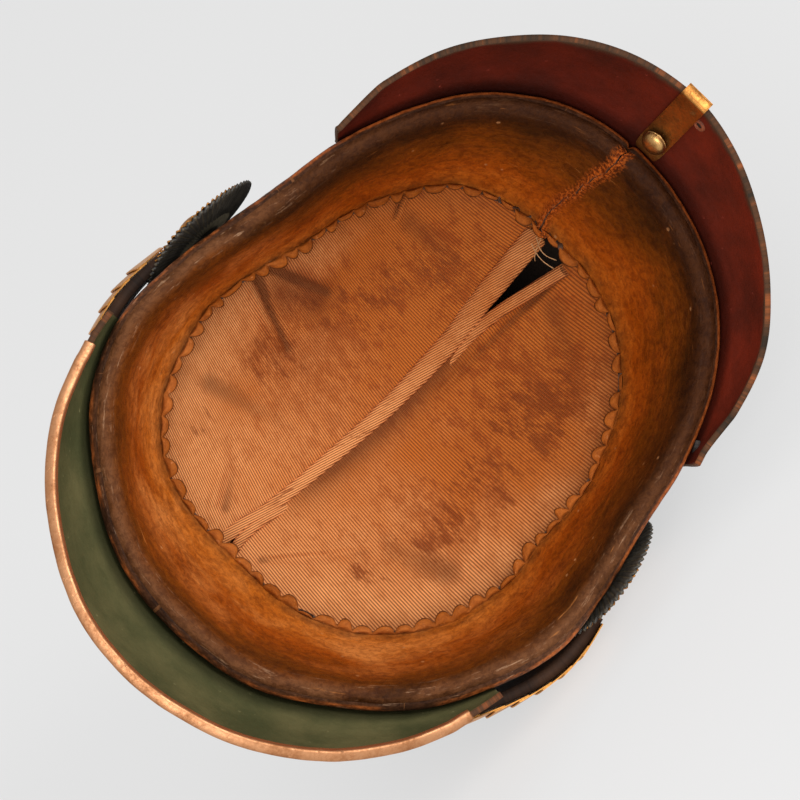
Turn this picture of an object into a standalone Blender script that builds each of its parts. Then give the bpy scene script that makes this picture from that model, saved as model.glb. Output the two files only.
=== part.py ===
# Spiked leather helmet, lying on its side with the opening towards -Y.
# Built upright about its own axes first: +X is the wearer's left, +Y the back,
# +Z the spike, and z = 0 the lowest line of the rim. Then everything is turned
# together onto the three points that the helmet rests on. Metres throughout.
import math

import bmesh
import bpy
import numpy as np
from mathutils import Matrix, Vector

# Sizes
clearance = 0.0003          # between pieces that meet
rimHalfLength = 0.1075      # centre of the opening to the outer edge, front and back
rimCentreY = 0.0075
rimRise = 0.0043            # the rim is this much higher at the sides
weltSize = 0.0068           # thickness of the rolled rim
shellInset = 0.0010         # shell's outer face, inside the rolled rim's
shellWall = 0.0026
shellHeight = 0.138
flareHeight = 0.020         # the foot of the shell follows the bent rim up to here
bandHeight = 0.048
bandWall = 0.0016
lobeCount = 72
lobeDepth = 0.0020
liningDepth = 0.036         # how far the crown lining hangs above the band
liningWall = 0.0012
liningHem = 0.0030          # radius of the rolled hem along the slit
slitGap = 0.0100            # widest part of the slit, at the back
peakWall = 0.0020
peakFlange = 0.0090          # height of the peaks' upright edge against the shell
frontReach = 0.0185
frontDrop = 0.0340
frontHalfAngle = 60.0
rearReach = 0.0160
rearDrop = 0.0300
rearHalfAngle = 60.0
trimWall = 0.0006
trimWidth = 0.0034
spineWidth = 0.0098
spineWall = 0.0008
rivetRadius = 0.0035
rivetHeight = 0.0024
baseRadius = 0.0340
baseWall = 0.0008
neckRadius = 0.0135
neckHeight = 0.0200
beadRadius = 0.0024
spikeRadius = 0.0098
spikeHeight = 0.0720
spikeTip = 0.0016
studRadius = 0.0045
studHeight = 0.0038
studCircle = baseRadius * 0.78
cockadeRadius = 0.0240
cockadeWall = 0.0010
cockadeDish = 0.0026
cockadePleats = 28
bossHeight = 0.0250         # height of the side bosses above the rim line
bossRadius = 0.0066
bossFlange = 0.0090
bossStand = 0.0088
strapWidth = 0.0180
strapWall = 0.0014
strapStandOff = 0.0050
scaleCount = 17             # brass scales on each side of the chin strap
scaleRise = 0.0022
scaleWall = 0.0005
claspLength = 0.0170
claspWidth = 0.0150
claspHeight = 0.0030
roundSteps = 72             # stations round the rim

# Plan outlines, seen from below. Angle runs from the front round to the back;
# left and right are the wearer's. Each length is a share of rimHalfLength.
rimShape = {
    "angle": (0, 15, 30, 45, 60, 75, 90, 105, 120, 135, 150, 165, 180),
    "left": (1.0, .999, .972, .949, .893, .803, .744, .737, .783, .850, .932, .983, 1.0),
    "right": (1.0, .995, .961, .939, .905, .880, .828, .808, .848, .909, .963, .990, 1.0),
}
wallShape = {
    "angle": (0, 15, 30, 45, 60, 75, 90, 105, 120, 135, 150, 165, 180),
    "left": (1.0, .997, .968, .940, .890, .818, .762, .757, .800, .868, .940, .984, 1.0),
    "right": (1.0, .997, .968, .940, .890, .826, .776, .772, .812, .876, .944, .986, 1.0),
}
bandShape = {
    "angle": (0, 15, 30, 45, 60, 75, 90, 105, 120, 135, 150, 165, 180),
    "left": (.690, .713, .745, .726, .686, .652, .602, .577, .610, .655, .702, .708, .696),
    "right": (.690, .705, .717, .702, .675, .643, .604, .622, .646, .676, .703, .702, .696),
}
# The crown's outline from foot to top: shares of the shell's height and plan radius.
# One more course of it stands level with the top of the peaks' upright edges.
shellRows = {
    "height": (0, .150, .30, .48, .65, .79, .895, .965),
    "reach": (1.0, .996, .980, .925, .825, .680, .490, .270),
}
# The peaks' edges, from the middle to the ends: shares of the half angle, the reach and the drop.
frontEdge = {
    "along": (0, .167, .333, .5, .667, .833, .917, 1.0),
    "left": (1.0, .960, .825, .690, .455, .200, .130, .070),
    "right": (1.0, .907, .839, .758, .541, .307, .170, .070),
    "drop": (1.0, .965, .875, .725, .540, .320, .220, .070),
}
rearEdge = {
    "along": (0, .167, .333, .5, .667, .833, .917, 1.0),
    "left": (1.0, .955, .860, .720, .650, .450, .230, .050),
    "right": (1.0, .890, .740, .636, .580, .320, .130, .030),
    "drop": (1.0, .960, .840, .670, .460, .220, .110, .050),
}
# Where each cockade and boss stands: how far back, how far off the wall, its turn and its tilt,
# and how far the strap presses the cockade's front edge in.
sideFittings = {
    "side": (1, -1),
    "back": (-.0015, .0095),
    "standOff": (.0008, .0012),
    "yaw": (3.0, 9.0),
    "tilt": (0.0, 10.0),
    "pressed": (.0027, .0018),
}
# The chin strap from its boss to the middle of the front: shares of its length there,
# of strapStandOff, of bossHeight and of strapWidth.
strapRoute = {
    "along": (0, .14, .28, .42, .58, .78, 1.0),
    "outwardLeft": (1.06, 1.02, .72, .63, .62, .62, .62),
    "outwardRight": (1.06, 1.34, 1.26, .98, .66, .62, .62),
    "height": (1.0, .97, .90, .84, .80, .78, .78),
    "width": (1.0, 1.0, .96, .90, .84, .78, .74),
}
# The slit in the lining, from front to back: shares of the band's half width at the middle.
slitShape = {
    "along": (0, .25, .5, .75, 1.0),
    "across": (.125, .055, .010, .020, .060),
    "open": (.030, .0, .0, .30, 1.0),
}

# Colours: red, green and blue, then roughness and metallic.
looks = {
    "shellLeather": (0.012, 0.011, 0.010, 0.32, 0.0),
    "bandLeather": (0.300, 0.120, 0.032, 0.62, 0.0),
    "weltLeather": (0.060, 0.026, 0.014, 0.50, 0.0),
    "liningCloth": (0.470, 0.255, 0.105, 0.85, 0.0),
    "frontUnderside": (0.045, 0.060, 0.026, 0.70, 0.0),
    "rearUnderside": (0.130, 0.022, 0.014, 0.65, 0.0),
    "brass": (0.620, 0.360, 0.140, 0.34, 1.0),
    "copperyBrass": (0.640, 0.320, 0.150, 0.38, 1.0),
    "cockadeLacquer": (0.035, 0.037, 0.045, 0.45, 0.0),
    "strapLeather": (0.050, 0.024, 0.014, 0.60, 0.0),
}
# Densities in kg/m3, only to find the balance point.
leatherDensity = 950.0
clothDensity = 500.0
brassDensity = 8400.0
metalLooks = ("brass", "copperyBrass")


def clearScene():
    for ob in list(bpy.data.objects):
        bpy.data.objects.remove(ob)


def makeMaterial(name):
    red, green, blue, roughness, metallic = looks[name]
    mat = bpy.data.materials.get(name) or bpy.data.materials.new(name)
    mat.use_nodes = True
    shader = mat.node_tree.nodes["Principled BSDF"]
    shader.inputs["Base Color"].default_value = (red, green, blue, 1.0)
    shader.inputs["Roughness"].default_value = roughness
    shader.inputs["Metallic"].default_value = metallic
    mat.diffuse_color = (red, green, blue, 1.0)
    return mat


def addObject(name, data, look):
    ob = bpy.data.objects.new(name, data)
    partCollection.objects.link(ob)
    data.materials.append(makeMaterial(look))
    return ob


# Smooth reading of the tables

def cubic(p0, p1, p2, p3, t):
    return p1 + 0.5 * t * (p2 - p0 + t * (2 * p0 - 5 * p1 + 4 * p2 - p3 + t * (3 * (p1 - p2) + p3 - p0)))


def ringShare(table, angle):
    # angle in degrees from the front: positive on the wearer's left, negative on the right
    values = list(table["left"]) + list(table["right"][-2:0:-1])
    place = (angle % 360.0) / 15.0
    i = int(place)
    count = len(values)
    return cubic(values[i - 1], values[i % count], values[(i + 1) % count],
                 values[(i + 2) % count], place - i)


def rowShare(table, column, place, key="along"):
    xs = table[key]
    ys = table[column]
    place = min(max(place, xs[0]), xs[-1])
    i = max(k for k in range(len(xs) - 1) if xs[k] <= place)
    t = (place - xs[i]) / (xs[i + 1] - xs[i])
    before = ys[i - 1] if i > 0 else ys[i] if column in ("left", "right", "drop") else 2 * ys[0] - ys[1]
    after = ys[i + 2] if i + 2 < len(ys) else 2 * ys[-1] - ys[-2]
    return cubic(before, ys[i], ys[i + 1], after, t)


def smooth(t):
    t = min(max(t, 0.0), 1.0)
    return t * t * (3 - 2 * t)


def planPoint(angle, radius, z):
    a = math.radians(angle)
    return Vector((radius * math.sin(a), rimCentreY - radius * math.cos(a), z))


def angleAt(x, y):
    return math.degrees(math.atan2(x, rimCentreY - y))


def rimEdge(angle):
    return rimHalfLength * ringShare(rimShape, angle)


def rimLine(angle):
    return rimRise * math.sin(math.radians(angle)) ** 2


# The shell: its outer face at any angle and height

def shellFoot(angle):
    return rimLine(angle) + weltSize + clearance + shellWall * 0.2


def wallRadius(angle, z):
    foot = shellFoot(angle)
    share = min(max((z - foot) / (shellHeight - foot), 0.0), shellRows["height"][-1])
    reach = np.interp(share, shellRows["height"], shellRows["reach"])
    upright = rimHalfLength * ringShare(wallShape, angle) - shellInset
    bent = rimEdge(angle) - shellInset
    part = smooth(1 - (z - foot) / flareHeight)
    return float(reach) * (upright + (bent - upright) * part)


def shellPoint(angle, row):
    # row 0 is the foot and row 1 the top of the peaks' upright edges
    foot = shellFoot(angle)
    z = foot + peakFlange
    if row != 1:
        z = foot + (shellHeight - foot) * shellRows["height"][max(row - 1, 0)]
    return planPoint(angle, wallRadius(angle, z), z)


shellCourses = len(shellRows["height"]) + 1


def shellTopAt(angle, radius):
    # height of the crown's outer face over a point near its middle
    rows = [shellPoint(angle, i) for i in range(shellCourses)]
    centre = Vector((0, rimCentreY, 0))
    reaches = [0.0] + [math.hypot(p.x, p.y - centre.y) for p in reversed(rows)]
    heights = [shellHeight] + [p.z for p in reversed(rows)]
    return float(np.interp(radius, reaches, heights))


# Meshes from rows of points

def gridMesh(name, rows, around=False, pole=None, caps=False):
    # rows of equal length; around joins each row's ends, pole closes the last row
    bm = bmesh.new()
    verts = [[bm.verts.new(p) for p in row] for row in rows]
    width = len(rows[0])
    steps = width if around else width - 1
    for lower, upper in zip(verts, verts[1:]):
        for i in range(steps):
            j = (i + 1) % width
            bm.faces.new((lower[i], lower[j], upper[j], upper[i]))
    if pole is not None:
        top = bm.verts.new(pole)
        for i in range(steps):
            bm.faces.new((verts[-1][i], verts[-1][(i + 1) % width], top))
    if caps:
        bm.faces.new(list(reversed(verts[0])))
        bm.faces.new(verts[-1])
    if caps:
        bmesh.ops.recalc_face_normals(bm, faces=bm.faces)
    mesh = bpy.data.meshes.new(name)
    bm.to_mesh(mesh)
    bm.free()
    return mesh


def smoothShade(mesh, degrees=40):
    mesh.shade_smooth()
    mesh.set_sharp_from_angle(angle=math.radians(degrees))


def addSheet(name, rows, look, thickness, side, around=False, pole=None):
    # an open surface given a wall; side is +1 along its normals and -1 against them
    mesh = gridMesh(name, rows, around, pole)
    ob = addObject(name, mesh, look)
    solid = ob.modifiers.new("wall", "SOLIDIFY")
    solid.thickness = thickness
    solid.offset = side
    smoothShade(mesh)
    return ob


def addSweep(name, rings, look):
    # closed sections one after another, with both ends capped
    mesh = gridMesh(name, rings, around=True, caps=True)
    smoothShade(mesh)
    return addObject(name, mesh, look)


def addTube(name, points, radius, look, cyclic, resolution=2):
    curve = bpy.data.curves.new(name, "CURVE")
    curve.dimensions = "3D"
    curve.bevel_depth = radius
    curve.bevel_resolution = resolution
    curve.use_fill_caps = not cyclic
    line = curve.splines.new("POLY")
    line.points.add(len(points) - 1)
    for point, co in zip(line.points, points):
        point.co = (co.x, co.y, co.z, 1.0)
    line.use_cyclic_u = cyclic
    return addObject(name, curve, look)


def addTurned(name, profile, look, steps):
    # profile of (radius, height) pairs from the top of the axis down the outside to the axis again
    mesh = bpy.data.meshes.new(name)
    bm = bmesh.new()
    verts = [bm.verts.new((r, 0, z)) for r, z in profile]
    for a, b in zip(verts, verts[1:]):
        bm.edges.new((a, b))
    bm.to_mesh(mesh)
    bm.free()
    ob = addObject(name, mesh, look)
    turn = ob.modifiers.new("turn", "SCREW")
    turn.steps = steps
    turn.render_steps = steps
    turn.use_merge_vertices = True
    turn.merge_threshold = 0.00002
    turn.use_smooth_shade = True
    return ob


# Leather shell and rolled rim

def buildShell():
    rows = []
    for row in range(shellCourses):
        rows.append([shellPoint(360.0 * i / roundSteps, row) for i in range(roundSteps)])
    addSheet("shell", rows, "shellLeather", shellWall, -1, around=True,
             pole=(0, rimCentreY, shellHeight))


def buildWelt():
    points = []
    for i in range(roundSteps):
        angle = 360.0 * i / roundSteps
        points.append(planPoint(angle, rimEdge(angle) - weltSize / 2, rimLine(angle) + weltSize / 2))
    addTube("rim_welt", points, weltSize / 2, "weltLeather", cyclic=True, resolution=1)


# Sweatband and lining

def bandFace(angle, share):
    # inner face of the band: share 0 at its foot beside the rolled rim, 1 at its upper edge
    foot = rimEdge(angle) - weltSize - clearance * 2 - bandWall
    top = rimHalfLength * ringShare(bandShape, angle)
    low = rimLine(angle) + weltSize / 2
    bulge = 0.16 * share * (1 - share) * (foot - top)
    return foot + (top - foot) * share + bulge, low + (bandHeight - low) * share


def buildBand():
    count = lobeCount * 2
    rows = []
    for share in (0.0, 0.5, 1.0):
        row = []
        for i in range(count):
            angle = 360.0 * i / count
            radius, z = bandFace(angle, share)
            if share == 1.0:
                z += lobeDepth * (0.5 if i % 2 else -0.5)
            row.append(planPoint(angle, radius, z))
        rows.append(row)
    addSheet("sweatband", rows, "bandLeather", bandWall, 1, around=True)


def slitPoint(along, side):
    # side +1 is the edge of the left half, -1 the edge of the right half
    halfWidth = rimHalfLength * bandShape["left"][6]
    front = rimCentreY - rimHalfLength * bandShape["left"][0]
    back = rimCentreY + rimHalfLength * bandShape["left"][-1]
    inset = -liningHem * 0.8
    y = front + inset + (back - front - 2 * inset) * along
    x = halfWidth * rowShare(slitShape, "across", along)
    if side < 0:
        x -= clearance + slitGap * max(rowShare(slitShape, "open", along), 0.0)
    return Vector((x, y, liningHeight(along, 1.0)))


def slitAcross(along):
    # level direction from the slit into the left half
    step = slitPoint(min(along + 0.02, 1), 1) - slitPoint(max(along - 0.02, 0), 1)
    return Vector((step.y, -step.x, 0)).normalized()


def liningHeight(along, share):
    rim = bandHeight + lobeDepth
    hang = math.sin(math.pi * min(max(along, 0.02), 0.98)) ** 0.6
    return rim + liningDepth * hang * (1 - (1 - share) ** 2)


def liningRows(side):
    rows = []
    tuck = bandWall * 1.25 + clearance * 4
    count = 18
    ends = []
    for along in (0.0, 1.0):
        x = slitPoint(along, side).x + side * (0.002 + (liningHem * 2 if side > 0 else 0.0))
        turn = math.degrees(math.asin(x / (rimHalfLength * bandShape["left"][0])))
        ends.append(turn if along == 0.0 else side * 180.0 - turn)
    for j in range(count + 1):
        along = j / count
        angle = ends[0] + (ends[1] - ends[0]) * along
        radius, low = bandFace(angle, 0.94)
        start = planPoint(angle, radius + tuck, low)
        radius, _ = bandFace(angle, 1.0)
        lip = planPoint(angle, radius + tuck * 0.85, bandHeight + lobeDepth * 0.5 + clearance * 3)
        end = slitPoint(along, side)
        if side > 0:
            end += slitAcross(along) * (liningHem * 2 + clearance)
        row = [start, lip]
        for k in range(1, 6):
            share = k / 5
            p = lip.lerp(end, share)
            p.z = liningHeight(along, share) + 0.0012
            row.append(p)
        rows.append(row)
    return rows


def buildLining():
    addSheet("lining_left", liningRows(1), "liningCloth", liningWall, -1)
    addSheet("lining_right", liningRows(-1), "liningCloth", liningWall, 1)
    points = []
    for j in range(19):
        along = j / 18
        p = slitPoint(along, 1) + slitAcross(along) * liningHem
        p.z += 0.0012 - liningHem * 0.3
        points.append(p)
    addTube("lining_hem", points, liningHem - clearance, "liningCloth", cyclic=False)


# Peaks

def peakFrame(which, place):
    # place runs from -1 on the wearer's right to 1 on the left
    table, reach, drop, half = (
        (frontEdge, frontReach, frontDrop, frontHalfAngle) if which == "front"
        else (rearEdge, rearReach, rearDrop, rearHalfAngle))
    angle = place * half
    if which == "rear":
        angle = 180.0 - angle
    column = "left" if place >= 0 else "right"
    out = reach * rowShare(table, column, abs(place))
    down = drop * rowShare(table, "drop", abs(place))
    return angle, out, down


def peakRow(which, place):
    # underside of the peak at one station, from the top of its flange to its edge
    angle, out, down = peakFrame(which, place)
    edge = rimEdge(angle)
    line = rimLine(angle)
    root = Vector((edge + clearance * 2, line + weltSize * 0.75))
    tip = Vector((edge + clearance * 2 + max(out, 0.0012), min(line - 0.001, -down)))
    top = shellFoot(angle) + peakFlange
    high = Vector((wallRadius(angle, top) + clearance, top))
    foot = Vector((wallRadius(angle, shellFoot(angle)) + clearance, shellFoot(angle)))
    taper = 0.35 + 0.65 * smooth((1 - abs(place)) / 0.3)
    stops = [foot.lerp(high, taper), foot.lerp(high, 0.1), root]
    side = Vector((tip.y - root.y, root.x - tip.x)).normalized()
    for share in (0.5, 1.0):
        crown = 0.05 * (tip - root).length * math.sin(math.pi * share)
        stops.append(root.lerp(tip, share) - side * crown)
    return [planPoint(angle, s.x, s.y) for s in stops]


def buildPeak(which, name, look):
    rows = [peakRow(which, place) for place in peakPlaces(which)]
    addSheet(name, rows, look, peakWall, 1 if which == "front" else -1)


def peakPlaces(which, reach=1.0):
    # the shell's own stations within the peak, and the peak's two ends
    half = frontHalfAngle if which == "front" else rearHalfAngle
    step = 360.0 / roundSteps / half
    count = int(reach / step - 0.25)
    inner = [i * step for i in range(-count, count + 1)]
    return [-reach] + inner + [reach]


def edgeFrame(which, place):
    # the peak's underside edge, with the way out and the way up through its thickness there
    step = 0.01
    here = peakRow(which, place)
    before = peakRow(which, max(place - step, -1))[-1]
    after = peakRow(which, min(place + step, 1))[-1]
    out = (here[-1] - here[-2])
    length = out.length
    out.normalize()
    along = (after - before).normalized()
    up = along.cross(out)
    if up.z < 0:
        up = -up
    return here[-1], out, up.normalized(), length


def buildTrim():
    # brass strip folded round the front peak's edge
    rings = []
    for place in peakPlaces("front", 0.90):
        edge, out, up, length = edgeFrame("front", place)
        leg = min(trimWidth, 0.6 * length)
        inner = clearance
        outer = clearance + trimWall
        section = ((-leg, -inner), (inner, -inner), (inner, peakWall + inner), (-leg, peakWall + inner),
                   (-leg, peakWall + outer), (outer, peakWall + outer), (outer, -outer), (-leg, -outer))
        rings.append([edge + out * a + up * b for a, b in section])
    addSweep("front_peak_trim", rings, "copperyBrass")


# Spine up the back, folded under the rear peak

def spinePath():
    path = []
    angle = 180.0
    lift = clearance * 2
    centre = Vector((0, rimCentreY, 0))
    for row in range(shellCourses - 2, 1, -1):
        p = shellPoint(angle, row)
        if math.hypot(p.x - centre.x, p.y - centre.y) < baseRadius + 0.001:
            continue
        above = shellPoint(angle, row + 1)
        below = shellPoint(angle, row - 1)
        normal = Vector((0, above.z - below.z, below.y - above.y)).normalized()
        if p.z < shellFoot(angle) + peakFlange + 0.008:
            break
        path.append(p + normal * lift)
    under = peakRow("rear", 0.0)
    normals = []
    for i, p in enumerate(under):
        a = under[max(i - 1, 0)]
        b = under[min(i + 1, len(under) - 1)]
        normals.append(Vector((0, a.z - b.z, b.y - a.y)).normalized())
    tops = [p + n * (peakWall + lift * 1.5) for p, n in zip(under, normals)]
    path.append(tops[0] + Vector((0, 0, 0.0035)))
    path += tops[1:-1]
    edge, out, up, _ = edgeFrame("rear", 0.0)
    path.append(edge + up * (peakWall + lift))
    path.append(edge + out * (lift + 0.0002) + up * (peakWall + lift * 0.5))
    path.append(edge + out * (lift + 0.0002) - up * lift * 0.5)
    path.append(edge - up * (lift + 0.0001) - out * 0.0006)
    mid = under[-2] - normals[-2] * (lift + 0.0001)
    path.append(mid)
    path.append(under[2].lerp(under[3], 0.12) - normals[3] * (lift + 0.0002))
    return path


def buildSpine():
    half = Vector((spineWidth / 2, 0, 0))
    rows = [[p - half, p + half] for p in spinePath()]
    addSheet("rear_spine", rows, "brass", spineWall, 1)


def placeOn(ob, point, normal, spin=0.0):
    # stands an object's +Z along a surface normal
    turn = normal.to_track_quat("Z", "Y").to_matrix().to_4x4()
    ob.matrix_world = Matrix.Translation(point) @ turn @ Matrix.Rotation(spin, 4, "Z")


def domeProfile(radius, height, foot, steps=4):
    # a dome on a short upright foot, with a flat underside at z = 0
    profile = []
    for i in range(steps + 1):
        a = math.pi / 2 * i / steps
        profile.append((radius * math.sin(a), foot + (height - foot) * math.cos(a)))
    profile += [(radius, 0.0), (0.0, 0.0)]
    return profile


def buildRivet():
    path = spinePath()
    a, b = path[-1], path[-2]
    point = a.lerp(b, 0.34)
    down = Vector((0, (a - b).z, (b - a).y)).normalized()
    if down.z > 0:
        down = -down
    rivet = addTurned("spine_rivet", domeProfile(rivetRadius, rivetHeight, 0.0004), "brass", 14)
    placeOn(rivet, point + down * (spineWall + clearance), down)


# Spike, its base and studs

def buildBase():
    # a thin sheet: the foot lies on the crown and the neck stands over its middle
    rows = []
    shoulder = shellHeight + 0.0040
    for radius in (baseRadius, baseRadius * 0.84, baseRadius * 0.68):
        rows.append([planPoint(a, radius, shellTopAt(a, radius) + clearance * 3)
                     for a in np.linspace(0, 360, 24, endpoint=False)])
    profile = ((neckRadius * 1.05, shoulder - 0.0004),
               (neckRadius * 0.86, shellHeight + neckHeight * 0.55), (neckRadius * 0.94, shellHeight + neckHeight),
               (neckRadius * 0.45, shellHeight + neckHeight + 0.0010))
    for radius, z in profile:
        rows.append([planPoint(a, radius, z) for a in np.linspace(0, 360, 24, endpoint=False)])
    addSheet("spike_base", rows, "brass", baseWall, 1, around=True,
             pole=(0, rimCentreY, shellHeight + neckHeight + 0.0012))


def buildSpike():
    foot = shellHeight + neckHeight + 0.0012 + baseWall + clearance
    ring = spikeRadius + beadRadius
    profile = [(0.0, spikeHeight), (spikeTip, spikeHeight - spikeTip * 0.5)]
    for share in (0.12, 0.3, 0.5, 0.7, 0.88, 1.0):
        radius = spikeTip + (spikeRadius - spikeTip) * share ** 0.92
        profile.append((radius, spikeHeight - (spikeHeight - 2 * beadRadius) * share))
    profile += [(ring * 0.97, beadRadius * 1.7), (ring, beadRadius), (ring * 0.97, beadRadius * 0.3),
                (ring * 0.9, 0.0), (0.0, 0.0)]
    spike = addTurned("spike", profile, "brass", 24)
    spike.location = (0, rimCentreY, foot)


def buildStuds():
    for i in range(4):
        angle = 45.0 + 90.0 * i
        inner = planPoint(angle, studCircle - 0.003, shellTopAt(angle, studCircle - 0.003))
        outer = planPoint(angle, studCircle + 0.003, shellTopAt(angle, studCircle + 0.003))
        slope = (outer - inner).normalized()
        across = planPoint(angle + 90.0, 1.0, 0.0) - planPoint(0, 0, 0)
        normal = slope.cross(across).normalized()
        if normal.z < 0:
            normal = -normal
        middle = planPoint(angle, studCircle, shellTopAt(angle, studCircle))
        stud = addTurned("base_stud_%d" % (i + 1), domeProfile(studRadius, studHeight, 0.0006, 3), "brass", 10)
        placeOn(stud, middle + normal * (baseWall + clearance * 6), normal)


# Cockades, bosses and the chin strap

def fittingFrame(row):
    side = sideFittings["side"][row]
    y = sideFittings["back"][row]
    z = bossHeight
    x = side * wallRadius(side * 90.0, z)
    for _ in range(4):
        angle = angleAt(x, y)
        p = planPoint(angle, wallRadius(angle, z), z)
        x = p.x * 1.0
        y2 = p.y
    yaw = math.radians(sideFittings["yaw"][row]) * side
    tilt = math.radians(sideFittings["tilt"][row])
    normal = Vector((side * math.cos(yaw) * math.cos(tilt), abs(math.sin(yaw)) * math.cos(tilt), math.sin(tilt)))
    return Vector((x, y2, z)) + normal * (sideFittings["standOff"][row] + clearance), normal


def buildFittings():
    for row, name in enumerate(("left", "right")):
        point, normal = fittingFrame(row)
        turn = normal.to_track_quat("Z", "Y").to_matrix()
        rows = []
        for k, share in enumerate((1.0, 0.6)):
            ring = []
            for i in range(cockadePleats):
                a = 2 * math.pi * i / cockadePleats
                radius = cockadeRadius * share
                if k == 0 and i % 2:
                    radius *= 0.955
                lift = cockadeDish * share ** 2 + (0.0004 if i % 2 else 0.0) * share
                flat = point + turn @ Vector((radius * math.cos(a), radius * math.sin(a), 0))
                ahead = max((point.y - flat.y) / cockadeRadius, 0.0)
                ring.append(flat + normal * (lift - sideFittings["pressed"][row] * ahead ** 3))
            rows.append(ring)
        addSheet("cockade_" + name, rows, "cockadeLacquer", cockadeWall, 1, around=True,
                 pole=point)
        foot = cockadeWall + clearance * 2 + 0.0003
        lift = cockadeDish * (bossFlange / cockadeRadius) ** 2
        profile = [(0.0, bossStand), (bossRadius * 0.5, bossStand - 0.0008), (bossRadius * 0.87, bossStand - 0.0026),
                   (bossRadius, bossStand - 0.0052), (bossFlange, lift + 0.0020), (bossFlange, lift + 0.0008),
                   (bossRadius * 0.6, lift * 0.4), (bossRadius * 0.3, 0.0), (0.0, 0.0)]
        boss = addTurned("boss_" + name, profile, "brass", 12)
        placeOn(boss, point + normal * foot, normal)


def strapFace(side, along, outward):
    # lower and upper edge of the strap's face, outward is measured from its inner face
    boss, _ = fittingFrame(0 if side > 0 else 1)
    start = abs(angleAt(boss.x, boss.y)) - math.degrees((bossFlange + 0.0012) / abs(boss.x))
    angle = side * start * (1 - along)
    column = "outwardLeft" if side > 0 else "outwardRight"
    off = strapStandOff * rowShare(strapRoute, column, along) + outward
    middle = bossHeight * rowShare(strapRoute, "height", along)
    half = strapWidth * rowShare(strapRoute, "width", along) / 2
    return [planPoint(angle, wallRadius(angle, middle + k * half) + off, middle + k * half) for k in (-1, 1)]


def buildStrap():
    rows = []
    count = 26
    for i in range(count):
        rows.append(strapFace(1, i / count, 0.0))
    for i in range(count, -1, -1):
        rows.append(strapFace(-1, i / count, 0.0))
    addSheet("chin_strap", rows, "strapLeather", strapWall, 1)


def scaleSection(side, along, lift):
    low, high = strapFace(side, along, strapWall + clearance * 2)
    _, topOut = strapFace(side, along, strapWall + clearance * 2 + lift + scaleWall)
    out = (topOut - high).normalized()
    section = []
    for k, bulge in ((0.0, 0.0), (0.16, 0.62), (0.5, 1.0), (0.84, 0.62), (1.0, 0.0)):
        section.append(low.lerp(high, k) + out * (scaleWall + lift + scaleRise * bulge))
    section += [high, low]
    return section


def buildScales(side, name):
    rings = []
    claspAngle = math.degrees((claspLength / 2 + 0.0008) / rimHalfLength)
    last = 1 - claspAngle / 85.0
    for i in range(scaleCount):
        start = last * i / scaleCount
        end = last * (i + 0.94) / scaleCount
        rings.append(scaleSection(side, start, 0.0))
        rings.append(scaleSection(side, end, 0.0009))
    addSweep("chin_scales_" + name, rings, "brass")


def buildClasp():
    low, high = strapFace(1, 1.0, strapWall + clearance)
    mesh = bpy.data.meshes.new("chin_clasp")
    bm = bmesh.new()
    bmesh.ops.create_cube(bm, size=1.0)
    bmesh.ops.scale(bm, vec=(claspLength, claspHeight, claspWidth), verts=bm.verts)
    bm.to_mesh(mesh)
    bm.free()
    ob = addObject("chin_clasp", mesh, "brass")
    bevel = ob.modifiers.new("edges", "BEVEL")
    bevel.width = 0.0007
    bevel.segments = 1
    middle = (low + high) / 2
    tilt = math.atan2(high.y - low.y, high.z - low.z)
    ob.location = middle + Vector((0, -math.cos(tilt), math.sin(tilt))) * (claspHeight / 2 + 0.0004)
    ob.rotation_euler = (-tilt, 0, 0)


# Rest on the floor

def evaluatedMesh(ob, graph):
    bm = bmesh.new()
    mesh = bpy.data.meshes.new_from_object(ob.evaluated_get(graph))
    bm.from_mesh(mesh)
    bmesh.ops.transform(bm, matrix=ob.matrix_world, verts=bm.verts)
    bmesh.ops.triangulate(bm, faces=bm.faces)
    bpy.data.meshes.remove(mesh)
    return bm


def densityOf(ob):
    look = ob.data.materials[0].name
    if look in metalLooks:
        return brassDensity
    return clothDensity if look == "liningCloth" else leatherDensity


def balance():
    # all the outer points, and the point that the helmet balances on
    graph = bpy.context.evaluated_depsgraph_get()
    points = []
    mass = 0.0
    moment = Vector((0, 0, 0))
    for ob in partCollection.objects:
        bm = evaluatedMesh(ob, graph)
        for face in bm.faces:
            a, b, c = (v.co for v in face.verts)
            piece = a.dot(b.cross(c)) / 6 * densityOf(ob)
            mass += piece
            moment += piece * (a + b + c) / 4
        points += [v.co.copy() for v in bm.verts]
        bm.free()
    return points, moment / mass


def holds(corners, normal, point):
    # whether a point lies over a triangle, seen along its normal
    signs = []
    for i in range(3):
        a, b = corners[i], corners[(i + 1) % 3]
        signs.append((b - a).cross(point - a).dot(normal) >= 0)
    return all(signs)


def restingSide(points, centre, wanted):
    # the way down: the hull's flat side under the balance point that is nearest to the wanted one
    bm = bmesh.new()
    for p in points:
        bm.verts.new(p)
    hull = bmesh.ops.convex_hull(bm, input=bm.verts)
    faces = [f for f in hull["geom"] if isinstance(f, bmesh.types.BMFace)]
    best = None
    for face in faces:
        corners = [v.co.copy() for v in face.verts]
        normal = (corners[1] - corners[0]).cross(corners[2] - corners[0]).normalized()
        if normal.dot(corners[0] - centre) < 0:
            normal = -normal
            corners.reverse()
        if holds(corners, normal, centre) and (best is None or normal.dot(wanted) > best.dot(wanted)):
            best = normal
    bm.free()
    return best


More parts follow.
